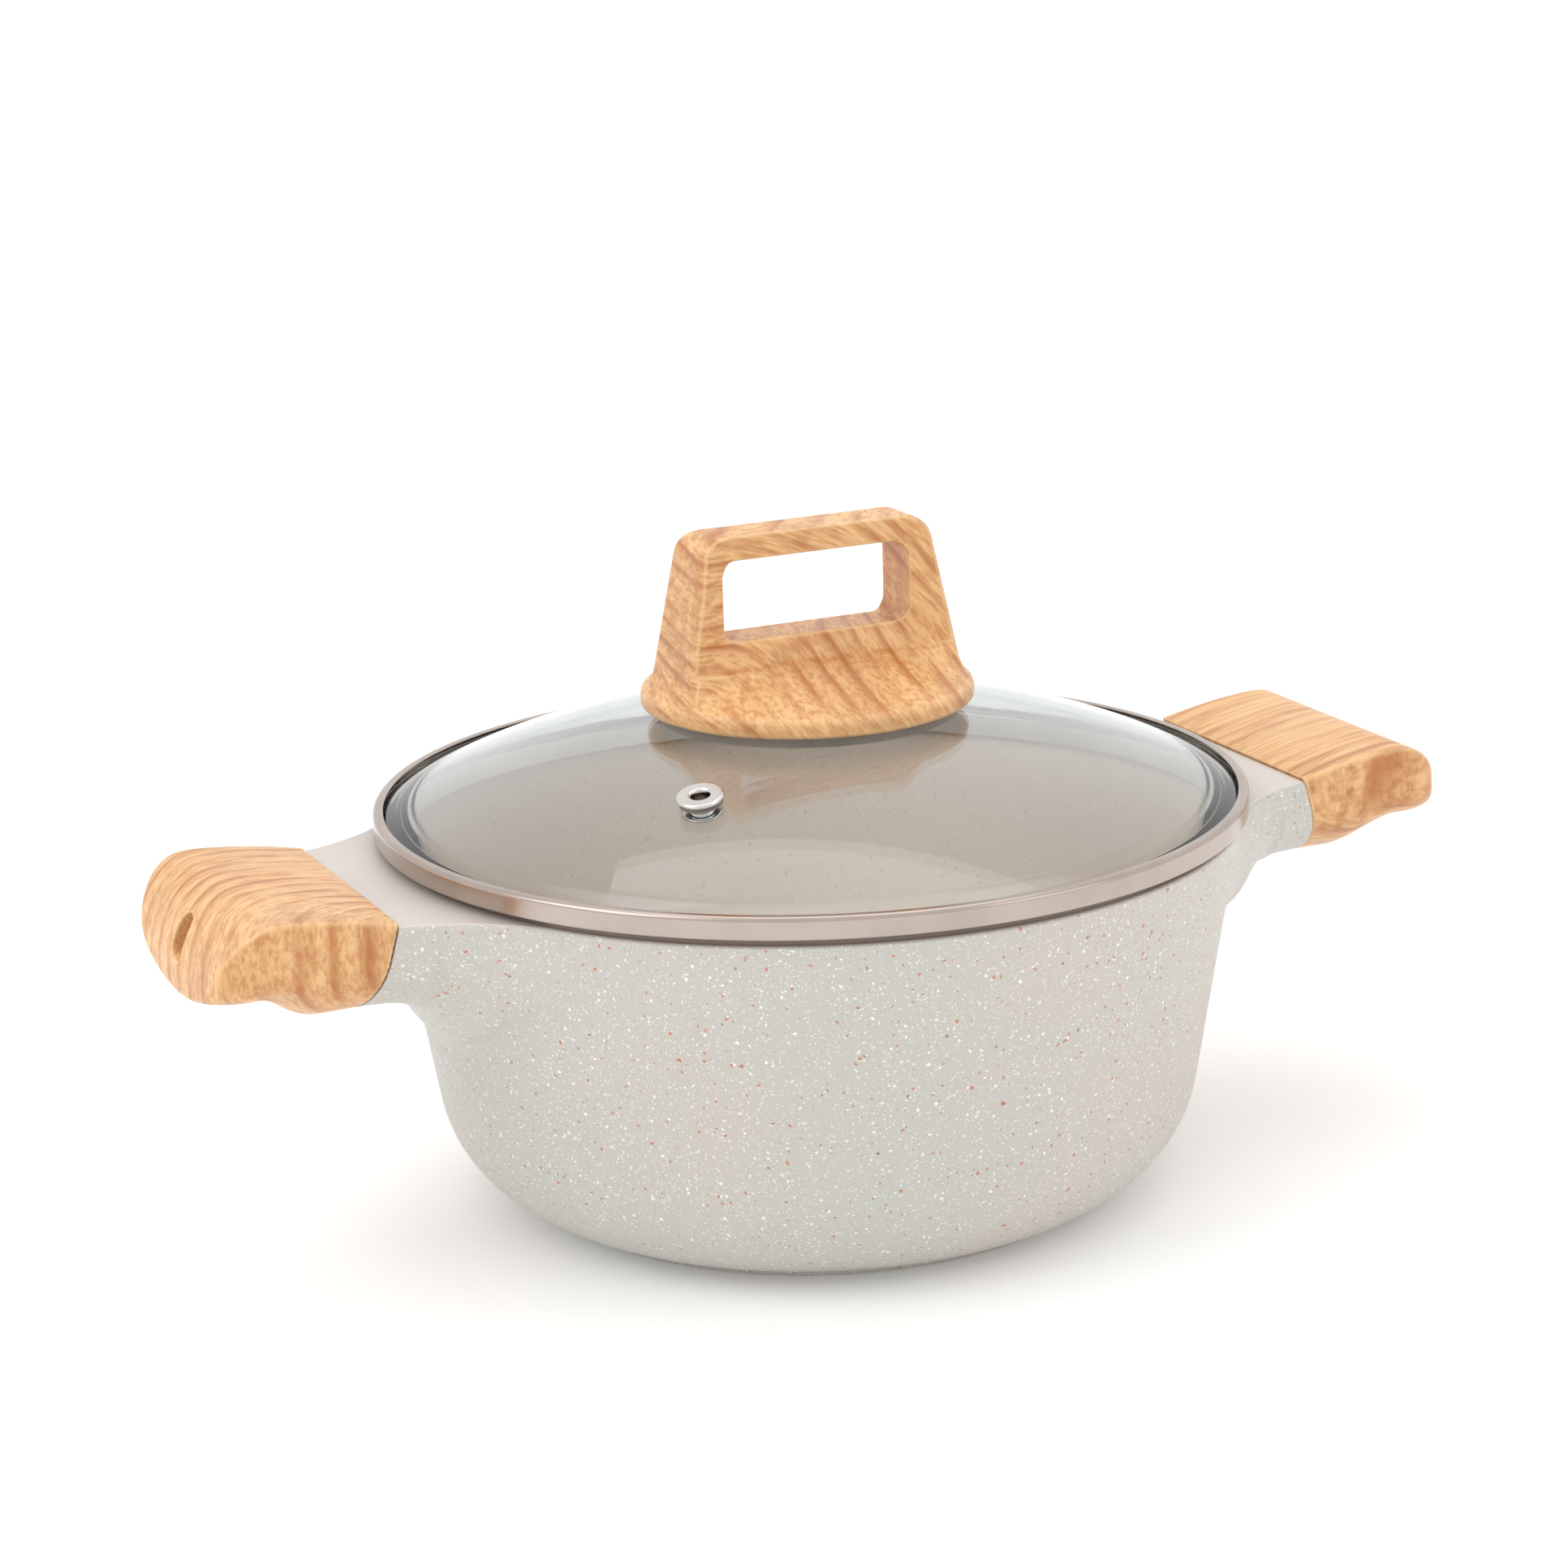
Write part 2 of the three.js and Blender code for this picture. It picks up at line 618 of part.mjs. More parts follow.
// Where the vent's axis meets the dome, and how far the dome leans there.
function ventPlace() {
  const slope =
    (DOME_RISE * DOME_POWER * (VENT_FROM_AXIS / domeRadius) ** (DOME_POWER - 1)) / domeRadius;
  const place = new THREE.Group();
  place.position.set(
    VENT_FROM_AXIS * Math.cos(VENT_ANGLE),
    VENT_FROM_AXIS * Math.sin(VENT_ANGLE),
    domeHeight(VENT_FROM_AXIS),
  );
  place.rotation.set(0, Math.atan(slope), VENT_ANGLE, "ZYX");
  place.updateMatrix();
  return place;
}

function lidGlass() {
  const steps = 8;
  const upper = Array.from({ length: steps + 1 }, (_, i) => {
    const radius = domeRadius + ((GLASS_HOLE_RADIUS - domeRadius) * i) / steps;
    return point(radius, domeHeight(radius));
  });
  const lower = upper
    .map((p) => point(p.x, p.y - GLASS_THICKNESS))
    .reverse()
    .slice(0, -1);
  const edge = [
    point(skirtInner, glassBottom),
    point(glassEdgeRadius, glassBottom),
    point(glassEdgeRadius, glassRimTop - GLASS_EASE * 0.75),
    point(glassEdgeRadius - GLASS_EASE, glassRimTop - GLASS_EASE / 4),
  ];
  const sheet = toSolid(turned([...lower, ...edge, ...upper], ROUND_STEPS));
  const hole = roundBore(VENT_TUBE_RADIUS + SCREW_CLEARANCE, -GLASS_THICKNESS * 2, 3);
  return sheet.subtract(hole.transform(ventPlace().matrix.toArray()));
}

// The rolled eyelet: flange above the glass, tube through it, spread foot below.
function ventEyelet() {
  const underFlange = VENT_WASHER_THICKNESS + 2 * TOUCH_GAP;
  const top = underFlange + VENT_FLANGE_HEIGHT;
  const footTop = -GLASS_THICKNESS - TOUCH_GAP;
  const half = VENT_FLANGE_HEIGHT / 2;
  return turned(
    [
      point(VENT_BORE_RADIUS, footTop - VENT_FOOT_HEIGHT),
      point(VENT_FOOT_RADIUS, footTop - VENT_FOOT_HEIGHT),
      point(VENT_FOOT_RADIUS, footTop),
      point(VENT_TUBE_RADIUS, footTop),
      point(VENT_TUBE_RADIUS, underFlange),
      ...arc(VENT_FLANGE_RADIUS - half, underFlange + half, half, -90, 90, 5),
      point(VENT_TUBE_RADIUS + half, top),
      point(VENT_BORE_RADIUS, underFlange + half / 2),
    ],
    SMALL_STEPS,
  );
}

function ventWasher() {
  const inner = VENT_TUBE_RADIUS + TOUCH_GAP;
  const top = TOUCH_GAP + VENT_WASHER_THICKNESS;
  return ring(inner, VENT_WASHER_RADIUS, TOUCH_GAP, top, SMALL_STEPS);
}

function ventAssembly() {
  const place = ventPlace();
  place.add(named("vent_eyelet", ventEyelet(), finishes.steel));
  place.add(named("vent_washer", ventWasher(), finishes.silicone));
  return place;
}

// ---------------------------------------------------------------- lid grip

function gripBase() {
  const side = gripBottom + GRIP_BASE_SIDE;
  const edge = GRIP_BASE_EDGE;
  return turned(
    [
      point(0, gripBottom),
      point(GRIP_BASE_RADIUS - 1, gripBottom),
      point(GRIP_BASE_RADIUS, gripBottom + 1),
      ...arc(GRIP_BASE_RADIUS - edge, side - edge, edge, 0, 76, 3),
      point(0, side),
    ],
    GRIP_STEPS,
  );
}

// The base's top: it runs up from the round edge to the bridge's straight-sided foot.
function gripCrown() {
  const side = gripBottom + GRIP_BASE_SIDE;
  const crease = side + GRIP_CREASE_RISE;
  const rim = GRIP_BASE_RADIUS - GRIP_BASE_EDGE * 0.9;
  const foot = bridgeHalves(crease);
  const angles = Array.from({ length: GRIP_STEPS }, (_, i) => (2 * Math.PI * i) / GRIP_STEPS);
  const circle = (z) =>
    angles.map((a) => new THREE.Vector3(rim * Math.cos(a), rim * Math.sin(a), z));
  const rectangle = angles.map((a) => {
    const toEnd = (foot.x - GRIP_CORNER / 2) / Math.max(Math.abs(Math.cos(a)), 1e-6);
    const toFront = foot.y / Math.max(Math.abs(Math.sin(a)), 1e-6);
    const reach = Math.min(toEnd, toFront);
    return new THREE.Vector3(reach * Math.cos(a), reach * Math.sin(a), crease);
  });
  const low = side - GRIP_BASE_EDGE;
  return toSolid(lofted([circle(low), circle(side), rectangle]));
}

// Half the bridge's length and width at a level, before its top is rounded.
function bridgeHalves(z) {
  const drop = (gripTop - z) / (gripTop - gripBottom - GRIP_BASE_SIDE);
  return point(
    THREE.MathUtils.lerp(GRIP_TOP_LENGTH, GRIP_FOOT_LENGTH, drop) / 2,
    THREE.MathUtils.lerp(GRIP_TOP_WIDTH, GRIP_FOOT_WIDTH, drop) / 2,
  );
}

// One level of the bridge: a rectangle with rounded corners, as a list of Vector3 in the
// plane at z. It widens downwards, and draws in towards the top by its two roundings.
function bridgeSection(z) {
  const drawnIn = (round) => {
    const up = Math.max(z - (gripTop - round), 0);
    return round - Math.sqrt(round ** 2 - up ** 2);
  };
  const half = bridgeHalves(z);
  const x = half.x - drawnIn(GRIP_END_ROUND) - GRIP_CORNER;
  const y = half.y - drawnIn(GRIP_SIDE_ROUND) - GRIP_CORNER;
  const outline = [
    ...arc(x, y, GRIP_CORNER, 0, 90, 3),
    ...arc(-x, y, GRIP_CORNER, 90, 180, 3),
    ...arc(-x, -y, GRIP_CORNER, 180, 270, 3),
    ...arc(x, -y, GRIP_CORNER, 270, 360, 3),
  ];
  return outline.map((p) => new THREE.Vector3(p.x, p.y, z));
}

function bridge() {
  const levels = [gripBottom + GRIP_BASE_SIDE / 2, gripTop - GRIP_END_ROUND];
  const steps = 5;
  for (let i = 1; i <= steps; i++) {
    const a = (Math.PI / 2) * (i / steps);
    levels.push(gripTop - GRIP_END_ROUND * (1 - Math.sin(a)));
  }
  return toSolid(lofted(levels.map((z) => bridgeSection(z))));
}

// What is hollowed out of the bridge's front face. Its floor is the waist's face; its two
// slanting sides run out to the corners, and below the opening it flares out to the crease.
function waistHollow() {
  const crease = gripBottom + GRIP_BASE_SIDE + GRIP_CREASE_RISE;
  const flareSteps = 3;
  const levels = [gripTop + 1];
  for (let i = 0; i <= flareSteps; i++)
    levels.unshift(openingBottom - ((openingBottom - crease) * i) / flareSteps);
  const sections = levels.map((z) => {
    const half = bridgeHalves(z);
    const above = Math.min((z - crease) / (openingBottom - crease), 1);
    const deep = Math.sin((Math.PI / 2) * above);
    const waist = THREE.MathUtils.lerp(half.y, GRIP_WAIST_WIDTH / 2, deep);
    const inner = OPENING_LENGTH / 2 - GRIP_CORNER;
    const slant = (half.y - waist) / (half.x - inner);
    const beyond = GRIP_CORNER * 2;
    const outer = half.x + beyond;
    const edge = half.y + beyond * slant;
    const front = GRIP_BASE_RADIUS;
    const outline = [
      point(-outer, -front),
      point(outer, -front),
      point(outer, -edge),
      point(inner, -waist),
      point(-inner, -waist),
      point(-outer, -edge),
    ];
    return outline.map((p) => new THREE.Vector3(p.x, p.y, z));
  });
  return toSolid(lofted(sections));
}

function fingerOpening() {
  const depth = GRIP_BASE_RADIUS * 2;
  const bar = roundedBar(OPENING_LENGTH, OPENING_HEIGHT, OPENING_CORNER, depth);
  const middle = (openingTop + openingBottom) / 2;
  return toSolid(bar.rotateX(Math.PI / 2).translate(0, depth / 2, middle));
}

// The hollow in the underside, round the boss that holds the insert.
function gripHollow() {
  const outer = SEAT_INNER_RADIUS - GRIP_SHELL;
  return toSolid(
    ring(BOSS_RADIUS, outer, gripBottom - 1, gripBottom + HOLLOW_HEIGHT, GRIP_STEPS),
  );
}

function lidGrip() {
  const bore = roundBore(INSERT_RADIUS + TOUCH_GAP, gripBottom - 1, insertTop() + TOUCH_GAP);
  return toSolid(gripBase())
    .add(gripCrown())
    .add(bridge().subtract(waistHollow()).subtract(turnedRound(waistHollow())))
    .subtract(fingerOpening())
    .subtract(gripHollow())
    .subtract(bore);
}

function insertTop() {
  return gripBottom + INSERT_LENGTH;
}

function gripInsert() {
  return ring(
    LID_SCREW_RADIUS + THREAD_CLEARANCE,
    INSERT_RADIUS,
    gripBottom,
    insertTop(),
    SMALL_STEPS,
  );
}

// The soft ring that fills the wedge between the dome and the grip's flat underside.
function gripSeat() {
  const steps = 4;
  const under = Array.from({ length: steps + 1 }, (_, i) => {
    const radius = SEAT_INNER_RADIUS + ((SEAT_OUTER_RADIUS - SEAT_INNER_RADIUS) * i) / steps;
    return point(radius, domeHeight(radius) + TOUCH_GAP);
  });
  const top = gripBottom - TOUCH_GAP;
  return turned([...under, point(SEAT_OUTER_RADIUS, top), point(SEAT_INNER_RADIUS, top)], GRIP_STEPS);
}

function gasketTop() {
  return domeHeight(GASKET_RADIUS) - GLASS_THICKNESS - TOUCH_GAP;
}

function screwGasket() {
  const top = gasketTop();
  const bore = LID_SCREW_RADIUS + THREAD_CLEARANCE;
  return ring(bore, GASKET_RADIUS, top - GASKET_THICKNESS, top, SMALL_STEPS);
}

function screwWasher() {
  const top = gasketTop() - GASKET_THICKNESS - TOUCH_GAP;
  const bore = LID_SCREW_RADIUS + THREAD_CLEARANCE;
  return ring(bore, WASHER_RADIUS, top - WASHER_THICKNESS, top, SMALL_STEPS);
}

function lidScrew() {
  const headTop = gasketTop() - GASKET_THICKNESS - WASHER_THICKNESS - 2 * TOUCH_GAP;
  return panScrew(
    LID_SCREW_RADIUS,
    LID_SCREW_LENGTH,
    LID_SCREW_HEAD_RADIUS,
    LID_SCREW_HEAD_HEIGHT,
    headTop,
  );
}

// ---------------------------------------------------------------- the whole object

const saucepan = new THREE.Group();
saucepan.add(named("pot_body", potBody(), finishes.coating));
saucepan.add(named("base_disc", baseDisc(), finishes.steel));
saucepan.add(named("handle_sleeve_right", handleSleeve(), finishes.wood));
saucepan.add(named("handle_sleeve_left", turnedRound(handleSleeve()), finishes.wood));
saucepan.add(named("sleeve_screw_right", sleeveScrew(), finishes.steel));
saucepan.add(named("sleeve_screw_left", turnedRound(sleeveScrew()), finishes.steel));

const lid = new THREE.Group();
lid.add(named("lid_glass", lidGlass(), finishes.glass));
lid.add(named("lid_band", lidBand(), finishes.steel));
lid.add(ventAssembly());
lid.add(named("lid_grip", lidGrip(), finishes.wood));
lid.add(named("grip_seat", gripSeat(), finishes.silicone));
lid.add(named("grip_insert", gripInsert(), finishes.brass));
lid.add(named("screw_gasket", screwGasket(), finishes.silicone));
lid.add(named("screw_washer", screwWasher(), finishes.steel));
lid.add(named("lid_screw", lidScrew(), finishes.steel));
saucepan.add(lid);

export default saucepan;
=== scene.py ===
"""Two-handled saucepan with a glass lid: the looks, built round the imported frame."""

from math import acos, atan, cos, degrees, pi, radians, sin, sqrt, tan

import bmesh
import bpy
from mathutils import Matrix, Vector


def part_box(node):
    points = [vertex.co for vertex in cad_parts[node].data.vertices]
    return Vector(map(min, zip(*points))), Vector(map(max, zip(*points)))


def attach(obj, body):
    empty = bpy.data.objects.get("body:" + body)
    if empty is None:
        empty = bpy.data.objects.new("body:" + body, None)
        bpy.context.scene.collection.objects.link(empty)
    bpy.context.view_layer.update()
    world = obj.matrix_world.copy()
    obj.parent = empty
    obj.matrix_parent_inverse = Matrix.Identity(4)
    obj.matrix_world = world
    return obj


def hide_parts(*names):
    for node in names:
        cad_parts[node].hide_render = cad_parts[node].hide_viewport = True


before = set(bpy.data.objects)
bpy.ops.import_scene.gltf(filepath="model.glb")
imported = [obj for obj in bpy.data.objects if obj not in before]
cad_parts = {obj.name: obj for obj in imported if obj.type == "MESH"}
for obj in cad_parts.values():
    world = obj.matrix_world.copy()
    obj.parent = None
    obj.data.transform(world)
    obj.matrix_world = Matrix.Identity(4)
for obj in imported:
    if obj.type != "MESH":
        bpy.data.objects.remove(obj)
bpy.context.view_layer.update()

# ------------------------------------------------------------------ sizes, in millimetres


def box_mm(node_name):
    low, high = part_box(node_name)
    return low * 1000, high * 1000


# Cast body.
BEAD_HEIGHT, BEAD_WIDTH = 2.0, 2.2
RIM_HEIGHT = box_mm("pot_body")[1].z - BEAD_HEIGHT
RIM_RADIUS = 122.8
WALL, FLOOR_THICKNESS = 3.5, 4.5
DRAFT = radians(9.5)
CORNER_RADIUS, CORNER_HEIGHT = 37.0, 37.8
FOOT_RADIUS = 82.0
DISC_RADIUS, DISC_THICKNESS, DISC_EDGE = 74.0, 1.2, 0.3
FOOT_EDGE, RIM_EDGE, BEAD_EDGE = 0.8, 0.8, 0.6
GAP = 0.3

# Necks and the sleeves that slide on them.
JOINT_X, JOINT_LEAN = 139.6, 0.283
NECK_WAIST, NECK_PLAN_FILLET = 40.2, 60.0
NECK_BOTTOM, NECK_SIDE, NECK_UNDER_FILLET = RIM_HEIGHT - 30, RIM_HEIGHT - 8, 18.0
NECK_START = 0.8  # of the rim's radius, inside the wall
TOP_EDGE = 1.6
BLEND_FROM_AXIS, BLEND_FROM_FOOT, BLEND_SHORT_OF_JOINT, BLEND_PASSES = 84, 44, 9, 26
TANG_LENGTH, TANG_WIDTH, TANG_THICKNESS, TANG_ROOT = 26.0, 40.0, 10.0, 12.0
TANG_DROP, TANG_EASE = 8.0, 0.8
TANG_MIDDLE = RIM_HEIGHT - TANG_DROP - TANG_THICKNESS / 2
SOCKET_PLAY, SOCKET_LENGTH, SOCKET_DEPTH = 0.35, 28.0, 26.7  # it opens through the joint
SLEEVE_END = box_mm("handle_sleeve_right")[1].x
SLEEVE_TOP = RIM_HEIGHT + 5.6
SLEEVE_CREST, SLEEVE_RISE, SLEEVE_END_DROP = 33.0, 4.6, 22.5
SLEEVE_CORNER, SLEEVE_SIDE_DROP = 13.0, 2.5
SLEEVE_CLIMB, CLIMB_START, CLIMB_END = 8.8, JOINT_X + 12, JOINT_X + 36
POCKET_LENGTH, POCKET_WIDTH, POCKET_CORNER, POCKET_ROOF, POCKET_END_WALL = 17.0, 42.0, 5.6, 6.0, 8.0
SLOT_HEIGHT, SLOT_WIDTH, SLOT_DEPTH, SLOT_BELOW_TOP = 12.6, 8.6, 18.0, 5.8
SCREW_X = JOINT_X + 17
SCREW_HOLE, SCREW_HOLE_TOP = 4.2, RIM_HEIGHT - 22.85
SLEEVE_SCREW_RADIUS, SLEEVE_SCREW_HEAD = 2.0, 3.8
SCREW_HEAD_HEIGHT = 2.6

# Lid.
BAND_RADIUS = box_mm("lid_band")[1].x
BAND_TOP = box_mm("lid_band")[1].z
BAND_BOTTOM = BAND_TOP - 6.3
BAND_SHEET, BAND_LIP, BAND_ROLL, SKIRT_DEPTH = 0.6, 3.0, 1.4, 5.5
SKIRT_OUTER = RIM_RADIUS - WALL - 2.2
GLASS_THICKNESS = 4.0
GLASS_EDGE = BAND_RADIUS - 0.85
GLASS_RIM_TOP = BAND_BOTTOM + 0.85 + GLASS_THICKNESS
DOME_RADIUS, DOME_POWER = BAND_RADIUS - 3.25, 2.1
DOME_RISE = box_mm("lid_glass")[1].z - GLASS_RIM_TOP
VENT_FROM_AXIS, VENT_ANGLE, VENT_HOLE = 76.0, radians(-137.4), 3.7
EYELET_FLANGE, EYELET_FOOT, EYELET_TUBE, EYELET_BORE = 6.6, 5.4, 3.3, 2.3
WASHER_RADIUS, WASHER_TOP = 6.1, 1.2
SCREW_PASSAGE = 4.4

# Lid grip.
GRIP_LOW, GRIP_TOP = box_mm("lid_grip")[0].z, box_mm("lid_grip")[1].z
GRIP_RADIUS, GRIP_SIDE, GRIP_CREASE = 47.5, GRIP_LOW + 5.8, GRIP_LOW + 13.2
GRIP_EDGE = 2.4
GRIP_END_ROUND, GRIP_SIDE_ROUND, GRIP_CORNER = 6.0, 3.0, 3.0
BRIDGE_TOP_LENGTH, BRIDGE_TOP_WIDTH, BRIDGE_LENGTHENS, BRIDGE_WIDENS = 70.0, 21.0, 15.6, 10.0
OPENING_LENGTH, OPENING_LOW, OPENING_TOP = 57.4, GRIP_TOP - 30, GRIP_TOP - 7
OPENING_CORNER, WAIST = 4.5, 15.0
HOLLOW_INNER, HOLLOW_OUTER, HOLLOW_DEPTH = 10.0, 27.0, 5.0
BOSS_BORE, BOSS_DEPTH = 4.5, 12.3
FIXING_BORE, LID_SCREW_RADIUS, LID_SCREW_HEAD = 2.7, 2.4, 5.0
CUSHION_INNER, CUSHION_OUTER = 31.0, 43.0

# ------------------------------------------------------------------ making shapes


def arc(centre, height, radius, start, end, steps):
    turns = [radians(start + (end - start) * i / steps) for i in range(steps + 1)]
    return [(centre + radius * cos(a), height + radius * sin(a)) for a in turns]


def turned(profile, steps=240):
    """A solid of revolution from (radius, height) points."""
    bm = bmesh.new()
    points = [bm.verts.new((radius, 0, height)) for radius, height in profile]
    on_axis = profile[0][0] == 0 and profile[-1][0] == 0
    following = points[1:] + ([] if on_axis else points[:1])
    edges = [bm.edges.new(pair) for pair in zip(points, following)]
    bmesh.ops.spin(
        bm, geom=points + edges, cent=(0, 0, 0), axis=(0, 0, 1),
        angle=2 * pi, steps=steps, use_merge=True,
    )
    return closed(bm)


def closed(bm):
    bmesh.ops.remove_doubles(bm, verts=bm.verts, dist=1e-4)
    bmesh.ops.recalc_face_normals(bm, faces=bm.faces)
    return bm


def lofted(sections):
    """A solid that grows one outline through every section and is filled at both ends."""
    bm = bmesh.new()
    outline = [bm.verts.new(p) for p in sections[0]]
    edges = [bm.edges.new(pair) for pair in zip(outline, outline[1:] + outline[:1])]
    bmesh.ops.contextual_create(bm, geom=edges)
    for section in sections[1:]:
        old = {v: i for i, v in enumerate(outline)}
        grown = bmesh.ops.extrude_edge_only(bm, edges=edges)["geom"]
        fresh = {}
        for v in (g for g in grown if isinstance(g, bmesh.types.BMVert)):
            root = next(e.other_vert(v) for e in v.link_edges if e.other_vert(v) in old)
            fresh[old[root]] = v
        outline = [fresh[i] for i in range(len(section))]
        for v, place in zip(outline, section):
            v.co = place
        pairs = zip(outline, outline[1:] + outline[:1])
        edges = [bm.edges.get(pair) for pair in pairs]
    bmesh.ops.contextual_create(bm, geom=edges)
    bmesh.ops.recalc_face_normals(bm, faces=bm.faces)
    return bm


def block(length, width, height, middle):
    """A plain block, used for cutting and joining."""
    bm = bmesh.new()
    bmesh.ops.create_cube(bm, size=1)
    bmesh.ops.scale(bm, vec=(length, width, height), verts=bm.verts)
    bmesh.ops.translate(bm, vec=middle, verts=bm.verts)
    return bm


def rounded_bar(length, width, corner, depth):
    """A bar with rounded upright edges, its foot on the XY plane."""
    bm = block(length, width, depth, (0, 0, depth / 2))
    upright = [e for e in bm.edges if abs(e.verts[0].co.z - e.verts[1].co.z) > depth / 2]
    bmesh.ops.bevel(
        bm, geom=upright, offset=corner, offset_type="OFFSET", affect="EDGES",
        segments=10, profile=0.5, material=-1,
    )
    return bm


def rod(radius, low, high, steps=48):
    return turned([(0, low), (radius, low), (radius, high), (0, high)], steps)


def placed(bm, matrix):
    bmesh.ops.transform(bm, matrix=matrix, verts=bm.verts)
    return bm


def scratch(bm, name="scratch"):
    mesh = bpy.data.meshes.new(name)
    bm.to_mesh(mesh)
    bm.free()
    piece = bpy.data.objects.new(name, mesh)
    bpy.context.scene.collection.objects.link(piece)
    return piece


def worked(piece):
    """The piece with its modifiers carried out."""
    seen = piece.evaluated_get(bpy.context.evaluated_depsgraph_get())
    mesh = bpy.data.meshes.new_from_object(seen)
    piece.modifiers.clear()
    piece.data = mesh
    return piece


def joined(piece, bm, operation="UNION"):
    """The piece with a second shape added to it, cut from it or shared with it."""
    tool = scratch(bm)
    change = piece.modifiers.new("join", "BOOLEAN")
    change.operation, change.solver, change.object = operation, "EXACT", tool
    worked(piece)
    bpy.data.objects.remove(tool)
    return piece


def softened(piece, grain, passes):
    """Evens the mesh out and eases every edge, as moulding does, and stores a painted-highlight
    mask on the convex edges.
    """
    even = piece.modifiers.new("even", "REMESH")
    even.mode, even.voxel_size = "VOXEL", grain
    ease = piece.modifiers.new("ease", "SMOOTH")
    ease.factor, ease.iterations = 0.5, passes
    worked(piece)
    bm = bmesh.new()
    bm.from_mesh(piece.data)
    # Painted highlight: a per-vertex mask of how convex the surface is, used to lighten the print
    # on rounded edges where the light catches them.
    layer = bm.verts.layers.float.new("painted_edge_highlight")
    for v in bm.verts:
        away = [v.co - e.other_vert(v).co for e in v.link_edges]
        bend = sum(d.dot(v.normal) / d.length_squared for d in away) * 2 / len(away)
        v[layer] = min(max((bend - 0.12) / 0.4, 0), 1)
    bm.to_mesh(piece.data)
    bm.free()
    return piece


def finished(piece, name, body, stands_for, finishes, sharp=None):
    """Names a piece, brings it to metres and hands it to its body."""
    piece.name = piece.data.name = name
    piece.data.transform(Matrix.Scale(0.001, 4))
    piece.data.shade_smooth()
    if sharp:
        piece.data.set_sharp_from_angle(angle=radians(sharp))
        even = piece.modifiers.new("even shading", "WEIGHTED_NORMAL")
        even.keep_sharp = True
        worked(piece)
    piece.data.materials.clear()
    for finish in finishes:
        piece.data.materials.append(finish)
    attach(piece, body)
    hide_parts(stands_for)
    return piece


# ------------------------------------------------------------------ material building


def colour(red, green, blue):
    """A linear colour from its usual 0 to 255 values."""
    parts = [c / 255 for c in (red, green, blue)]
    return tuple(c / 12.92 if c < 0.04 else ((c + 0.055) / 1.055) ** 2.4 for c in parts) + (1,)


def node(tree, kind, inputs=None, **settings):
    made = tree.nodes.new("ShaderNode" + kind)
    for key, value in settings.items():
        setattr(made, key, value)
    for socket, value in (inputs or {}).items():
        if isinstance(value, bpy.types.NodeSocket):
            tree.links.new(value, made.inputs[socket])
        else:
            made.inputs[socket].default_value = value
    return made


def maths(tree, operation, a, b=0.0, clamp=False):
    made = node(tree, "Math", {0: a, 1: b}, operation=operation, use_clamp=clamp)
    return made.outputs[0]


def mixed(tree, factor, a, b, blend="MIX"):
    made = node(tree, "Mix", {0: factor, 6: a, 7: b}, data_type="RGBA", blend_type=blend)
    return made.outputs[2]


def ramp(tree, factor, stops, ease="LINEAR"):
    made = node(tree, "ValToRGB", {0: factor})
    made.color_ramp.interpolation = ease
    elements = made.color_ramp.elements
    while len(elements) < len(stops):
        elements.new(0.5)
    for element, (place, value) in zip(elements, stops):
        element.position = place
        element.color = value if isinstance(value, tuple) else (value, value, value, 1)
    return made.outputs[0]


def group(name, inputs, outputs):
    tree = bpy.data.node_groups.new(name, "ShaderNodeTree")
    for label, kind, value in inputs:
        socket = tree.interface.new_socket(label, in_out="INPUT", socket_type="NodeSocket" + kind)
        if value is not None:
            socket.default_value = value
    for label, kind in outputs:
        tree.interface.new_socket(label, in_out="OUTPUT", socket_type="NodeSocket" + kind)
    start = tree.nodes.new("NodeGroupInput")
    end = tree.nodes.new("NodeGroupOutput")
    return tree, start.outputs, end.inputs


def use(tree, made_group, inputs):
    return node(tree, "Group", inputs, node_tree=made_group).outputs


def new_material(name):
    material = bpy.data.materials.new(name)
    material.use_nodes = True
    tree = material.node_tree
    shader = tree.nodes["Principled BSDF"]
    where = node(tree, "TexCoord").outputs["Object"]
    return material, tree, shader, where


def fleck_group():
    """Scattered specks of uneven size and outline."""
    tree, given, result = group(
        "flecks",
        [("Vector", "Vector", None), ("Scale", "Float", 500.0), ("Share", "Float", 0.5),
         ("Size", "Float", 0.3), ("Ragged", "Float", 0.3)],
        [("Mask", "Float"), ("Tint", "Float")],
    )
    rough = node(tree, "TexNoise", {"Vector": given["Vector"], "Detail": 2.0,
                                    "Scale": maths(tree, "MULTIPLY", given["Scale"], 1.9)})
    shift = node(tree, "VectorMath", {0: rough.outputs["Color"], 1: (0.5, 0.5, 0.5)},
                 operation="SUBTRACT").outputs[0]
    reach = maths(tree, "DIVIDE", given["Ragged"], given["Scale"])
    shift = node(tree, "VectorMath", {0: shift, "Scale": reach}, operation="SCALE").outputs[0]
    place = node(tree, "VectorMath", {0: given["Vector"], 1: shift}, operation="ADD").outputs[0]
    cells = node(tree, "TexVoronoi", {"Vector": place, "Scale": given["Scale"]})
    chance = node(tree, "SeparateColor", {0: cells.outputs["Color"]}).outputs
    kept = maths(tree, "LESS_THAN", chance[0], given["Share"])
    size = maths(tree, "MULTIPLY", given["Size"],
                 maths(tree, "ADD", 0.35, maths(tree, "MULTIPLY", chance[1], 0.65)))
    inside = maths(tree, "SUBTRACT", size, cells.outputs["Distance"])
    soft = maths(tree, "MULTIPLY", inside, 14.0, clamp=True)
    tree.links.new(maths(tree, "MULTIPLY", soft, kept), result["Mask"])
    tree.links.new(chance[2], result["Tint"])
    return tree


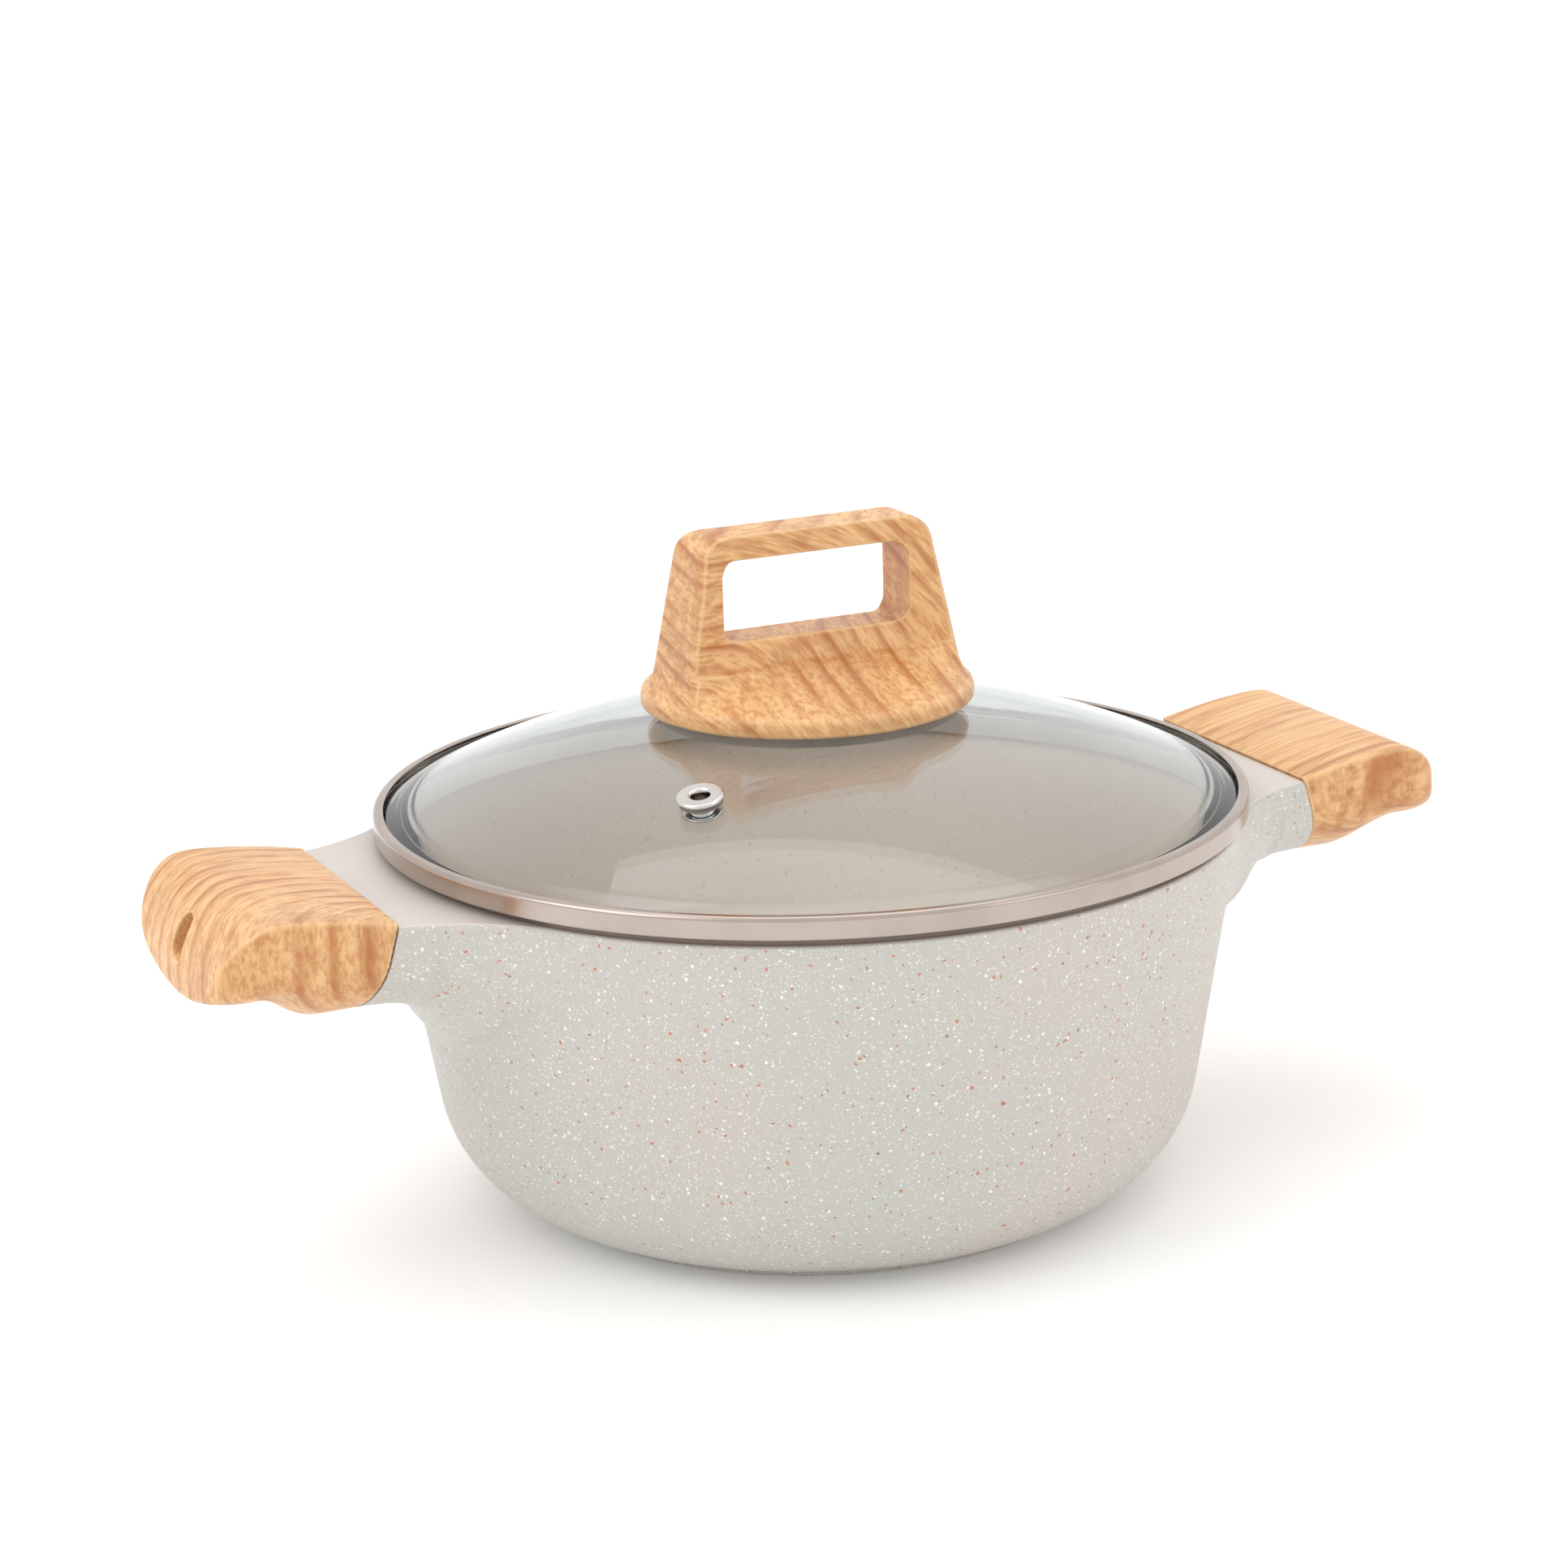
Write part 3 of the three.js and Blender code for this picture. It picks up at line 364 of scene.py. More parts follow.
def figure_group():
    """Printed timber figure: bands round a long axis, fibres along it and soft mottling."""
    tree, given, result = group(
        "timber_figure",
        [("Vector", "Vector", None), ("Spacing", "Float", 0.008), ("Wander", "Float", 0.01),
         ("Streak", "Float", 0.8), ("Mottle", "Float", 0.5), ("Turn", "Float", 25.0),
         ("Round", "Float", 0.006)],
        [("Color", "Color"), ("Height", "Float")],
    )
    along = node(tree, "Mapping", {"Vector": given["Vector"], "Scale": (0.35, 1, 1)}).outputs[0]
    slow = node(tree, "TexNoise", {"Vector": along, "Scale": given["Turn"], "Detail": 2.0,
                                   "Roughness": 0.45}).outputs[0]
    across = node(tree, "VectorMath", {0: given["Vector"], 1: (0, 1, 1)},
                  operation="MULTIPLY").outputs[0]
    radius = node(tree, "VectorMath", {0: across}, operation="LENGTH").outputs["Value"]
    drift = maths(tree, "MULTIPLY", maths(tree, "SUBTRACT", slow, 0.5), given["Wander"])
    rings = maths(tree, "DIVIDE", maths(tree, "ADD", radius, drift), given["Spacing"])
    band = ramp(tree, maths(tree, "FRACT", rings),
                [(0.0, 0.15), (0.22, 0.0), (0.5, 0.2), (0.86, 1.0), (1.0, 0.15)], "EASE")
    patch = node(tree, "TexNoise", {"Vector": along, "Scale": 95.0, "Detail": 3.0}).outputs[0]
    patch = ramp(tree, patch, [(0.36, 0.15), (0.62, 1.0)], "EASE")
    streak = maths(tree, "MULTIPLY", maths(tree, "MULTIPLY", band, patch), given["Streak"])
    parts = node(tree, "SeparateXYZ", {0: given["Vector"]}).outputs
    angle = maths(tree, "ARCTAN2", parts[2], parts[1])
    fine = node(tree, "CombineXYZ", {
        0: maths(tree, "ADD", radius, maths(tree, "MULTIPLY", drift, 0.6)),
        1: maths(tree, "MULTIPLY", angle, given["Round"]),
        2: maths(tree, "MULTIPLY", parts[0], 0.28),
    }).outputs[0]
    fibre = node(tree, "TexNoise", {"Vector": fine, "Scale": 1150.0, "Detail": 2.5,
                                    "Roughness": 0.65}).outputs[0]
    fibre = ramp(tree, fibre, [(0.43, 0.0), (0.62, 1.0)])
    cloud = node(tree, "TexNoise", {"Vector": along, "Scale": 48.0, "Detail": 4.0,
                                    "Roughness": 0.6, "Distortion": 0.8}).outputs[0]
    cloud = maths(tree, "MULTIPLY", ramp(tree, cloud, [(0.48, 0.0), (0.7, 1.0)], "EASE"),
                  given["Mottle"])
    base = mixed(tree, maths(tree, "MULTIPLY", fibre, 0.75), colour(234, 188, 132),
                 colour(198, 136, 78))
    base = mixed(tree, streak, base, colour(178, 106, 54))
    base = mixed(tree, cloud, base, colour(172, 112, 62))
    tree.links.new(base, result["Color"])
    tree.links.new(maths(tree, "ADD", streak, maths(tree, "MULTIPLY", fibre, 0.4)),
                   result["Height"])
    return tree


def end_grain_group():
    """Short upright flecks and soft dark bands, where the figure is cut across."""
    tree, given, result = group(
        "end_grain", [("Vector", "Vector", None)], [("Mask", "Float")],
    )
    tall = node(tree, "Mapping", {"Vector": given["Vector"], "Scale": (1, 1, 0.45)}).outputs[0]
    fleck = node(tree, "TexNoise", {"Vector": tall, "Scale": 620.0, "Detail": 3.0,
                                    "Roughness": 0.7}).outputs[0]
    fleck = ramp(tree, fleck, [(0.44, 0.0), (0.64, 1.0)])
    band = node(tree, "TexNoise", {"Vector": tall, "Scale": 75.0, "Detail": 3.0,
                                   "Distortion": 1.2}).outputs[0]
    band = ramp(tree, band, [(0.4, 0.12), (0.62, 1.0)], "EASE")
    both = maths(tree, "MULTIPLY", band, maths(tree, "ADD", 0.45, maths(
        tree, "MULTIPLY", fleck, 0.55)))
    tree.links.new(both, result["Mask"])
    return tree


def unevenness_group():
    """Broad soft variation of a finish, and the fine orange peel over it."""
    tree, given, result = group(
        "unevenness",
        [("Vector", "Vector", None), ("Broad", "Float", 14.0), ("Fine", "Float", 900.0)],
        [("Broad", "Float"), ("Fine", "Float")],
    )
    broad = node(tree, "TexNoise", {"Vector": given["Vector"], "Scale": given["Broad"],
                                    "Detail": 3.0}).outputs[0]
    fine = node(tree, "TexNoise", {"Vector": given["Vector"], "Scale": given["Fine"],
                                   "Detail": 2.0}).outputs[0]
    tree.links.new(ramp(tree, broad, [(0.3, 0.0), (0.7, 1.0)], "EASE"), result["Broad"])
    tree.links.new(fine, result["Fine"])
    return tree


def turning_group():
    """Fine rings left on turned or rolled steel."""
    tree, given, result = group(
        "turning_marks",
        [("Vector", "Vector", None), ("Fineness", "Float", 5000.0)],
        [("Height", "Float")],
    )
    flat = node(tree, "VectorMath", {0: given["Vector"], 1: (1, 1, 0)},
                operation="MULTIPLY").outputs[0]
    radius = node(tree, "VectorMath", {0: flat}, operation="LENGTH").outputs["Value"]
    height = node(tree, "SeparateXYZ", {0: given["Vector"]}).outputs[2]
    line = node(tree, "CombineXYZ", {0: radius, 1: height}).outputs[0]
    marks = node(tree, "TexNoise", {"Vector": line, "Scale": given["Fineness"],
                                    "Detail": 3.0}).outputs[0]
    tree.links.new(marks, result["Height"])
    return tree


FLECKS, FIGURE = fleck_group(), figure_group()
UNEVENNESS, TURNING, END_GRAIN = unevenness_group(), turning_group(), end_grain_group()


def bumped(tree, shader, height, strength, distance):
    bump = node(tree, "Bump", {"Height": height, "Strength": strength, "Distance": distance})
    tree.links.new(bump.outputs[0], shader.inputs["Normal"])


def speckled_coating(name, cool, warm, dark, vividness):
    material, tree, shader, where = new_material(name)
    uneven = use(tree, UNEVENNESS, {"Vector": where, "Broad": 9.0, "Fine": 1100.0})
    tone = mixed(tree, uneven["Broad"], cool, warm)
    grain = node(tree, "TexNoise", {"Vector": where, "Scale": 1600.0, "Detail": 2.0}).outputs[0]
    tone = mixed(tree, ramp(tree, grain, [(0.42, 0.0), (0.62, 0.5)]), tone, dark)
    layers = [
        (1150.0, 0.6, 0.4, 0.9, colour(228, 228, 224), 0.75),
        (600.0, 0.5, 0.31, 0.8, colour(240, 240, 237), 0.9),
        (400.0, 0.55, 0.24, 0.7, colour(192, 112, 62), 0.85),
        (210.0, 0.42, 0.16, 0.7, colour(186, 88, 48), 0.85),
        (420.0, 0.22, 0.2, 0.8, colour(98, 84, 76), 0.8),
    ]
    relief = uneven["Fine"]
    for scale, share, size, ragged, paint, strength in layers:
        fleck = use(tree, FLECKS, {"Vector": where, "Scale": scale, "Share": share,
                                   "Size": size, "Ragged": ragged})
        shown = maths(tree, "MULTIPLY", fleck["Mask"], strength * vividness)
        tone = mixed(tree, shown, tone, paint)
        relief = maths(tree, "ADD", relief, maths(tree, "MULTIPLY", fleck["Mask"], 0.25))
    tree.links.new(tone, shader.inputs["Base Color"])
    shine = maths(tree, "ADD", 0.4, maths(tree, "MULTIPLY", uneven["Broad"], 0.12))
    tree.links.new(shine, shader.inputs["Roughness"])
    shader.inputs["Specular IOR Level"].default_value = 0.45
    bumped(tree, shader, relief, 0.16, 0.0002)
    return material


def plain_coating():
    material, tree, shader, where = new_material("plain_coating")
    uneven = use(tree, UNEVENNESS, {"Vector": where, "Broad": 22.0, "Fine": 1400.0})
    tone = mixed(tree, uneven["Broad"], colour(208, 199, 191), colour(201, 192, 185))
    tree.links.new(tone, shader.inputs["Base Color"])
    shine = maths(tree, "ADD", 0.38, maths(tree, "MULTIPLY", uneven["Broad"], 0.1))
    tree.links.new(shine, shader.inputs["Roughness"])
    bumped(tree, shader, uneven["Fine"], 0.12, 0.0002)
    return material


# A darker coat for the rim's seat under the band: painted shade for the gap between the band and
# the rim.
def rim_seat_painted_shade():
    material, tree, shader, where = new_material("rim_seat_painted_shade")
    uneven = use(tree, UNEVENNESS, {"Vector": where, "Broad": 30.0, "Fine": 1500.0})
    tone = mixed(tree, uneven["Broad"], colour(104, 92, 82), colour(120, 108, 98))
    tree.links.new(tone, shader.inputs["Base Color"])
    shader.inputs["Roughness"].default_value = 0.55
    bumped(tree, shader, uneven["Fine"], 0.2, 0.0002)
    return material


def timber_print(name, centre, turn, stretch, end_axis, end_share, values):
    """Wood-look print: its figure is centred on the piece and turned to run along it."""
    material, tree, shader, where = new_material(name)
    turned_place = node(tree, "Mapping", {"Vector": where, "Location": centre,
                                          "Rotation": turn, "Scale": stretch},
                        vector_type="TEXTURE").outputs[0]
    figure = use(tree, FIGURE, dict(values, Vector=turned_place))
    grain = use(tree, END_GRAIN, {"Vector": where})
    facing = node(tree, "SeparateXYZ", {0: node(tree, "NewGeometry").outputs["Normal"]}).outputs
    side = ramp(tree, maths(tree, "ABSOLUTE", facing[end_axis]), [(0.45, 0.0), (0.85, 1.0)],
                "EASE")
    side = maths(tree, "MULTIPLY", side, end_share)
    tone = mixed(tree, maths(tree, "MULTIPLY", side, grain["Mask"]), figure["Color"],
                 colour(170, 104, 54))
    # Painted highlight: the print is lightened towards a pale tone along convex edges, standing in
    # for the light on the rounded edges.
    highlight_mask = node(tree, "Attribute", attribute_name="painted_edge_highlight").outputs["Fac"]
    tone = mixed(tree, maths(tree, "MULTIPLY", highlight_mask, 0.55), tone, colour(242, 206, 158))
    tree.links.new(tone, shader.inputs["Base Color"])
    uneven = use(tree, UNEVENNESS, {"Vector": where, "Broad": 40.0, "Fine": 1800.0})
    shine = maths(tree, "ADD", 0.33, maths(tree, "MULTIPLY", uneven["Broad"], 0.12))
    tree.links.new(shine, shader.inputs["Roughness"])
    relief = maths(tree, "SUBTRACT", maths(tree, "MULTIPLY", uneven["Fine"], 0.4),
                   maths(tree, "MULTIPLY", figure["Height"], 0.5))
    bumped(tree, shader, relief, 0.15, 0.00025)
    return material


def turned_steel(name, tone, shine, fineness, strength):
    material, tree, shader, where = new_material(name)
    marks = use(tree, TURNING, {"Vector": where, "Fineness": fineness})["Height"]
    uneven = use(tree, UNEVENNESS, {"Vector": where, "Broad": 35.0, "Fine": 2200.0})
    dull = tuple(c * 0.86 for c in tone[:3]) + (1,)
    tree.links.new(mixed(tree, uneven["Broad"], tone, dull), shader.inputs["Base Color"])
    rough = maths(tree, "ADD", shine, maths(tree, "MULTIPLY", marks, 0.12))
    tree.links.new(rough, shader.inputs["Roughness"])
    shader.inputs["Metallic"].default_value = 1.0
    bumped(tree, shader, marks, strength, 0.0001)
    return material


def clear_glass():
    material, tree, shader, where = new_material("tempered_glass")
    uneven = use(tree, UNEVENNESS, {"Vector": where, "Broad": 8.0, "Fine": 60.0})
    tree.links.new(mixed(tree, uneven["Broad"], colour(244, 249, 250), colour(240, 246, 246)),
                   shader.inputs["Base Color"])
    shader.inputs["Roughness"].default_value = 0.0
    shader.inputs["IOR"].default_value = 1.5
    shader.inputs["Transmission Weight"].default_value = 1.0
    bumped(tree, shader, uneven["Fine"], 0.03, 0.0003)
    clear = node(tree, "BsdfTransparent", {"Color": (0.98, 0.985, 0.98, 1)})
    shadow = node(tree, "LightPath").outputs["Is Shadow Ray"]
    blend = node(tree, "MixShader", {0: shadow, 1: shader.outputs[0], 2: clear.outputs[0]})
    tree.links.new(blend.outputs[0], tree.nodes["Material Output"].inputs["Surface"])
    return material


def moulded_rubber():
    material, tree, shader, where = new_material("silicone_seal")
    uneven = use(tree, UNEVENNESS, {"Vector": where, "Broad": 60.0, "Fine": 2000.0})
    tree.links.new(mixed(tree, uneven["Broad"], colour(128, 120, 112), colour(142, 133, 124)),
                   shader.inputs["Base Color"])
    shader.inputs["Roughness"].default_value = 0.62
    bumped(tree, shader, uneven["Fine"], 0.2, 0.0002)
    return material


COATING = speckled_coating("speckled_coating", colour(190, 190, 182), colour(199, 190, 182),
                           colour(180, 178, 170), 1.0)
# Inside coat: a copy of the speckled coating, set lighter than the outside coat as painted light
# that makes up for the dimmer light inside the pan; warmer, with fewer specks.
INSIDE_COATING_PAINTED_LIGHT = speckled_coating("inside_coating_painted_light", colour(228, 213, 200), colour(232, 214, 199),
                                  colour(216, 202, 190), 0.4)
NECK_COATING, SEAT_PAINTED_SHADE = plain_coating(), rim_seat_painted_shade()
BAND_STEEL = turned_steel("satin_band_steel", colour(188, 174, 164), 0.16, 2600.0, 0.12)
SKIRT_STEEL = turned_steel("bright_skirt_steel", colour(240, 243, 246), 0.3, 2600.0, 0.1)
EYELET_STEEL = turned_steel("polished_eyelet_steel", colour(220, 216, 212), 0.06, 3000.0, 0.05)
SCREW_STEEL = turned_steel("screw_steel", colour(196, 194, 190), 0.24, 4000.0, 0.15)
BASE_STEEL = turned_steel("turned_base_steel", colour(190, 188, 184), 0.28, 1500.0, 0.35)
BRASS = turned_steel("insert_brass", colour(205, 168, 92), 0.25, 4000.0, 0.15)
RUBBER, GLASS = moulded_rubber(), clear_glass()

# ------------------------------------------------------------------ cast body


def wall_radius(height, inset):
    return RIM_RADIUS - inset / cos(DRAFT) - (RIM_HEIGHT - height) * tan(DRAFT)


def body_outside():
    centre = wall_radius(CORNER_HEIGHT, 0) - CORNER_RADIUS / cos(DRAFT)
    start = -degrees(acos((FOOT_RADIUS - centre) / CORNER_RADIUS))
    corner = arc(centre, CORNER_HEIGHT, CORNER_RADIUS, start, -degrees(DRAFT), 28)
    low = corner[-1][1]
    rows = [low + (RIM_HEIGHT - 1 - low) * i / 26 for i in range(1, 26)]
    wall = [(wall_radius(z, 0), z) for z in rows]
    bead = RIM_RADIUS - WALL + BEAD_WIDTH
    recess, roof = DISC_RADIUS + GAP, DISC_THICKNESS + GAP
    return turned(
        [(0, roof), (recess, roof), (recess, 0), (FOOT_RADIUS - FOOT_EDGE, 0)]
        + arc(FOOT_RADIUS - FOOT_EDGE, FOOT_EDGE, FOOT_EDGE, -90, 0, 4)[1:]
        + corner
        + wall
        + arc(RIM_RADIUS - RIM_EDGE, RIM_HEIGHT - RIM_EDGE, RIM_EDGE, 0, 90, 5)
        + [(bead, RIM_HEIGHT)]
        + arc(bead - BEAD_EDGE, RIM_HEIGHT + BEAD_HEIGHT - BEAD_EDGE, BEAD_EDGE, 0, 90, 4)
        + [(0, RIM_HEIGHT + BEAD_HEIGHT)]
    )


def body_inside():
    radius = CORNER_RADIUS - WALL
    height = FLOOR_THICKNESS + radius
    centre = wall_radius(height, WALL) - radius / cos(DRAFT)
    top = RIM_HEIGHT + BEAD_HEIGHT + 1
    return turned(
        [(0, FLOOR_THICKNESS)]
        + arc(centre, height, radius, -90, -degrees(DRAFT), 24)
        + [(wall_radius(top, WALL), top), (0, top)]
    )


def handle_section(x, lean, half_width, top, side, bottom):
    """Flat top with eased edges, straight sides and a half-elliptic underside."""
    corner = arc(half_width - TOP_EDGE, top - TOP_EDGE, TOP_EDGE, 90, 0, 5)
    under = [
        (half_width * cos(pi * i / 40), side - (side - bottom) * sin(pi * i / 40))
        for i in range(41)
    ]
    outline = corner + under + [(-y, z) for y, z in reversed(corner)]
    return [Vector((x + lean * (RIM_HEIGHT - z), y, z)) for y, z in outline]


def neck_half_width(x):
    level = NECK_WAIST + NECK_PLAN_FILLET
    span = RIM_RADIUS + NECK_PLAN_FILLET
    fillet_x = sqrt(span**2 - level**2)
    if x < fillet_x * RIM_RADIUS / span:
        return sqrt((RIM_RADIUS - 0.6) ** 2 - x**2)
    return level - sqrt(NECK_PLAN_FILLET**2 - (fillet_x - x) ** 2)


def neck_underside(x):
    fillet_x = wall_radius(NECK_BOTTOM - NECK_UNDER_FILLET, 0) + NECK_UNDER_FILLET
    inwards = min(max(fillet_x - x, 0), NECK_UNDER_FILLET * 0.995)
    return NECK_BOTTOM - NECK_UNDER_FILLET + sqrt(NECK_UNDER_FILLET**2 - inwards**2)


def neck():
    inner, stations = RIM_RADIUS * NECK_START, 56
    sections = []
    for i in range(stations + 1):
        share = i / stations
        x = inner + (JOINT_X - inner) * share
        sections.append(handle_section(x, JOINT_LEAN * share, neck_half_width(x), RIM_HEIGHT,
                                       NECK_SIDE, neck_underside(x)))
    return lofted(sections)


def half_turn(bm):
    return placed(bm, Matrix.Rotation(pi, 4, "Z"))


def tang():
    reach = TANG_LENGTH + TANG_ROOT
    middle = (JOINT_X + reach / 2 - TANG_ROOT, 0, TANG_MIDDLE)
    bm = block(reach, TANG_WIDTH, TANG_THICKNESS, middle)
    bmesh.ops.bevel(
        bm, geom=bm.edges[:], offset=TANG_EASE, offset_type="OFFSET", affect="EDGES",
        segments=2, profile=0.5, material=-1,
    )
    return bm


def blend_necks(piece):
    """Rubs down the outside where the necks run into the wall."""
    bm = bmesh.new()
    bm.from_mesh(piece.data)
    zone = [
        v for v in bm.verts
        if BLEND_FROM_AXIS < abs(v.co.x) < JOINT_X - BLEND_SHORT_OF_JOINT
        and BLEND_FROM_FOOT < v.co.z < RIM_HEIGHT - TOP_EDGE - 0.3
        and sqrt(v.co.x**2 + v.co.y**2) > wall_radius(v.co.z, WALL * 0.4)
    ]
    for _ in range(BLEND_PASSES):
        bmesh.ops.smooth_vert(bm, verts=zone, factor=0.5, use_axis_x=True, use_axis_y=True,
                              use_axis_z=True)
    for v in zone:
        outwards = wall_radius(v.co.z, 0) / sqrt(v.co.x**2 + v.co.y**2)
        if outwards > 1:
            v.co.x, v.co.y = v.co.x * outwards, v.co.y * outwards
    bm.to_mesh(piece.data)
    bm.free()


def cast_body():
    piece = scratch(body_outside())
    for bm in (neck(), half_turn(neck()), tang(), half_turn(tang())):
        joined(piece, bm)
    joined(piece, body_inside(), "DIFFERENCE")
    blend_necks(piece)
    finished(piece, "cast_body", "pot", "pot_body",
             [COATING, NECK_COATING, SEAT_PAINTED_SHADE, INSIDE_COATING_PAINTED_LIGHT], sharp=38)
    outside, neck_top, seat, inside = range(4)
    rim = RIM_HEIGHT / 1000
    for face in piece.data.polygons:
        middle = face.center
        reach = sqrt(middle.x**2 + middle.y**2) * 1000
        # Faces above the rim take the darker seat coat, painted shade under the band; inner faces
        # take the lighter inside coat, painted light for the dim inside.
        if middle.z > rim + 5e-5:
            face.material_index = seat
        elif reach < wall_radius(middle.z * 1000, WALL * 0.7) and 0.003 < middle.z < rim:
            inwards = face.normal.dot((middle.x, middle.y, -1)) < 0
            face.material_index = inside if inwards else outside
        elif middle.z > rim - 0.0012 and face.normal.z > 0.75:
            face.material_index = neck_top


# ------------------------------------------------------------------ handle sleeves


def smooth_step(x, low, high):
    t = min(max((x - low) / (high - low), 0), 1)
    return t * t * (3 - 2 * t)


def sleeve_roll():
    """Everything below the curve that rolls the top over into the end."""
    crest_x = JOINT_X + SLEEVE_CREST
    low, width = NECK_BOTTOM - 2, 120
    over = [
        (crest_x + (SLEEVE_END - crest_x) * sin(pi / 2 * i / 24),
         SLEEVE_TOP - SLEEVE_END_DROP * (1 - cos(pi / 2 * i / 24)))
        for i in range(25)
    ]
    outline = [(JOINT_X - 2, SLEEVE_TOP)] + over + [(SLEEVE_END, low), (JOINT_X - 2, low)]
    near = [Vector((x, -width / 2, z)) for x, z in outline]
    far = [Vector((x, width / 2, z)) for x, z in outline]
    return lofted([near, far])


def sleeve_shell():
    start, stations = JOINT_X + GAP, 60
    sections = []
    for i in range(stations + 1):
        along = sin(pi / 2 * i / stations)
        x = start + (SLEEVE_END - start) * along
        climb = smooth_step(x, CLIMB_START, CLIMB_END)
        into = max(x - (SLEEVE_END - SLEEVE_CORNER), 0)
        half = neck_half_width(JOINT_X) - SLEEVE_CORNER
        half += sqrt(max(SLEEVE_CORNER**2 - into**2, 0.01))
        to_crest = min(max(JOINT_X + SLEEVE_CREST - x, 0) / SLEEVE_CREST, 1)
        sections.append(handle_section(
            x, JOINT_LEAN * (1 - along), half, SLEEVE_TOP - SLEEVE_RISE * to_crest**1.5,
            NECK_SIDE - SLEEVE_SIDE_DROP * along, NECK_BOTTOM + SLEEVE_CLIMB * climb,
        ))
    return lofted(sections)


def finger_pocket():
    roof, low = SLEEVE_TOP - POCKET_ROOF, NECK_BOTTOM - 2
    bar = rounded_bar(POCKET_LENGTH, POCKET_WIDTH, POCKET_CORNER, roof - low)
    middle = SLEEVE_END - POCKET_END_WALL - POCKET_LENGTH / 2
    return placed(bar, Matrix.Translation((middle, 0, low)))


def hanging_slot():
    """A slot through the end of the sleeve, from the finger pocket out."""
    bar = rounded_bar(SLOT_HEIGHT, SLOT_WIDTH, SLOT_WIDTH / 2 - 0.01, SLOT_DEPTH)
    start = SLEEVE_END - POCKET_END_WALL - POCKET_LENGTH / 2
    middle = SLEEVE_TOP - SLOT_BELOW_TOP - SLOT_HEIGHT / 2
    return placed(bar, Matrix.Translation((start, 0, middle)) @ Matrix.Rotation(pi / 2, 4, "Y"))


def sleeve(name, node_name, side, finish):
    piece = joined(scratch(sleeve_shell()), sleeve_roll(), "INTERSECT")
    play = SOCKET_PLAY * 2
    middle = (JOINT_X + SOCKET_DEPTH - SOCKET_LENGTH / 2, 0, TANG_MIDDLE)
    socket = block(SOCKET_LENGTH, TANG_WIDTH + play, TANG_THICKNESS + play, middle)
    screw_hole = placed(rod(SCREW_HOLE, NECK_BOTTOM - 3, SCREW_HOLE_TOP),
                        Matrix.Translation((SCREW_X, 0, 0)))
    for bm in (socket, finger_pocket(), hanging_slot(), screw_hole):
        joined(piece, bm, "DIFFERENCE")
    softened(piece, 0.55, 4)
    if side < 0:
        piece.data.transform(Matrix.Rotation(pi, 4, "Z"))
    finished(piece, name, "pot", node_name, [finish])


# ------------------------------------------------------------------ screws


def pan_screw(radius, length, head_radius, head_height, head_top):
    low = head_top - head_height
    piece = scratch(turned(
        [(0, low), (head_radius * 0.6, low), (head_radius * 0.85, low + head_height * 0.16),
         (head_radius, low + head_height * 0.45), (head_radius, head_top - 0.15),
         (head_radius - 0.15, head_top), (radius, head_top), (radius, head_top + length - radius),
         (radius * 0.5, head_top + length), (0, head_top + length)], 48,
    ))
    across, thick, deep = head_radius * 1.1, head_radius * 0.28, head_height * 1.2
    joined(piece, block(across, thick, deep, (0, 0, low)), "DIFFERENCE")
    return joined(piece, block(thick, across, deep, (0, 0, low)), "DIFFERENCE")


def node_screw(node_name, radius, head_radius):
    """A cross-head screw on the axis, as high as its node, its head down."""
    low, high = box_mm(node_name)
    head = SCREW_HEAD_HEIGHT
    return pan_screw(radius, high.z - low.z - head, head_radius, head, low.z + head)


def sleeve_screw(name, node_name, side):
    piece = node_screw(node_name, SLEEVE_SCREW_RADIUS, SLEEVE_SCREW_HEAD)
    piece.data.transform(Matrix.Translation((side * SCREW_X, 0, 0)))
    finished(piece, name, "pot", node_name, [SCREW_STEEL], sharp=40)


# ------------------------------------------------------------------ lid


def steel_band():
    sheet, lip = BAND_SHEET, BAND_RADIUS - BAND_LIP
    skirt_inner = SKIRT_OUTER - sheet
    low = BAND_BOTTOM
    piece = scratch(turned(
        [(skirt_inner, low - SKIRT_DEPTH), (SKIRT_OUTER - 0.1, low - SKIRT_DEPTH),
         (SKIRT_OUTER, low - SKIRT_DEPTH + 0.1), (SKIRT_OUTER, low), (BAND_RADIUS - sheet, low)]
        + arc(BAND_RADIUS - sheet, low + sheet, sheet, -90, 0, 5)[1:]
        + arc(BAND_RADIUS - BAND_ROLL, BAND_TOP - BAND_ROLL, BAND_ROLL, 0, 90, 12)
        + arc(lip + sheet / 2, BAND_TOP - sheet / 2, sheet / 2, 90, 270, 8)
        + arc(BAND_RADIUS - BAND_ROLL, BAND_TOP - BAND_ROLL, BAND_ROLL - sheet, 90, 0, 8)
        + [(BAND_RADIUS - sheet, low + sheet), (skirt_inner, low + sheet)], 288,
    ))
    finished(piece, "steel_band", "lid", "lid_band", [BAND_STEEL, SKIRT_STEEL],
             sharp=40)
    for face in piece.data.polygons:
        if face.center.xy.length * 1000 < SKIRT_OUTER + 2:
            face.material_index = 1


def dome_height(radius):
    return GLASS_RIM_TOP + DOME_RISE * (1 - min(radius / DOME_RADIUS, 1) ** DOME_POWER)


def vent_place():
    slope = DOME_RISE * DOME_POWER * (VENT_FROM_AXIS / DOME_RADIUS) ** (DOME_POWER - 1)
    place = Vector((VENT_FROM_AXIS * cos(VENT_ANGLE), VENT_FROM_AXIS * sin(VENT_ANGLE),
                    dome_height(VENT_FROM_AXIS)))
    return (Matrix.Translation(place) @ Matrix.Rotation(VENT_ANGLE, 4, "Z")
            @ Matrix.Rotation(atan(slope / DOME_RADIUS), 4, "Y"))


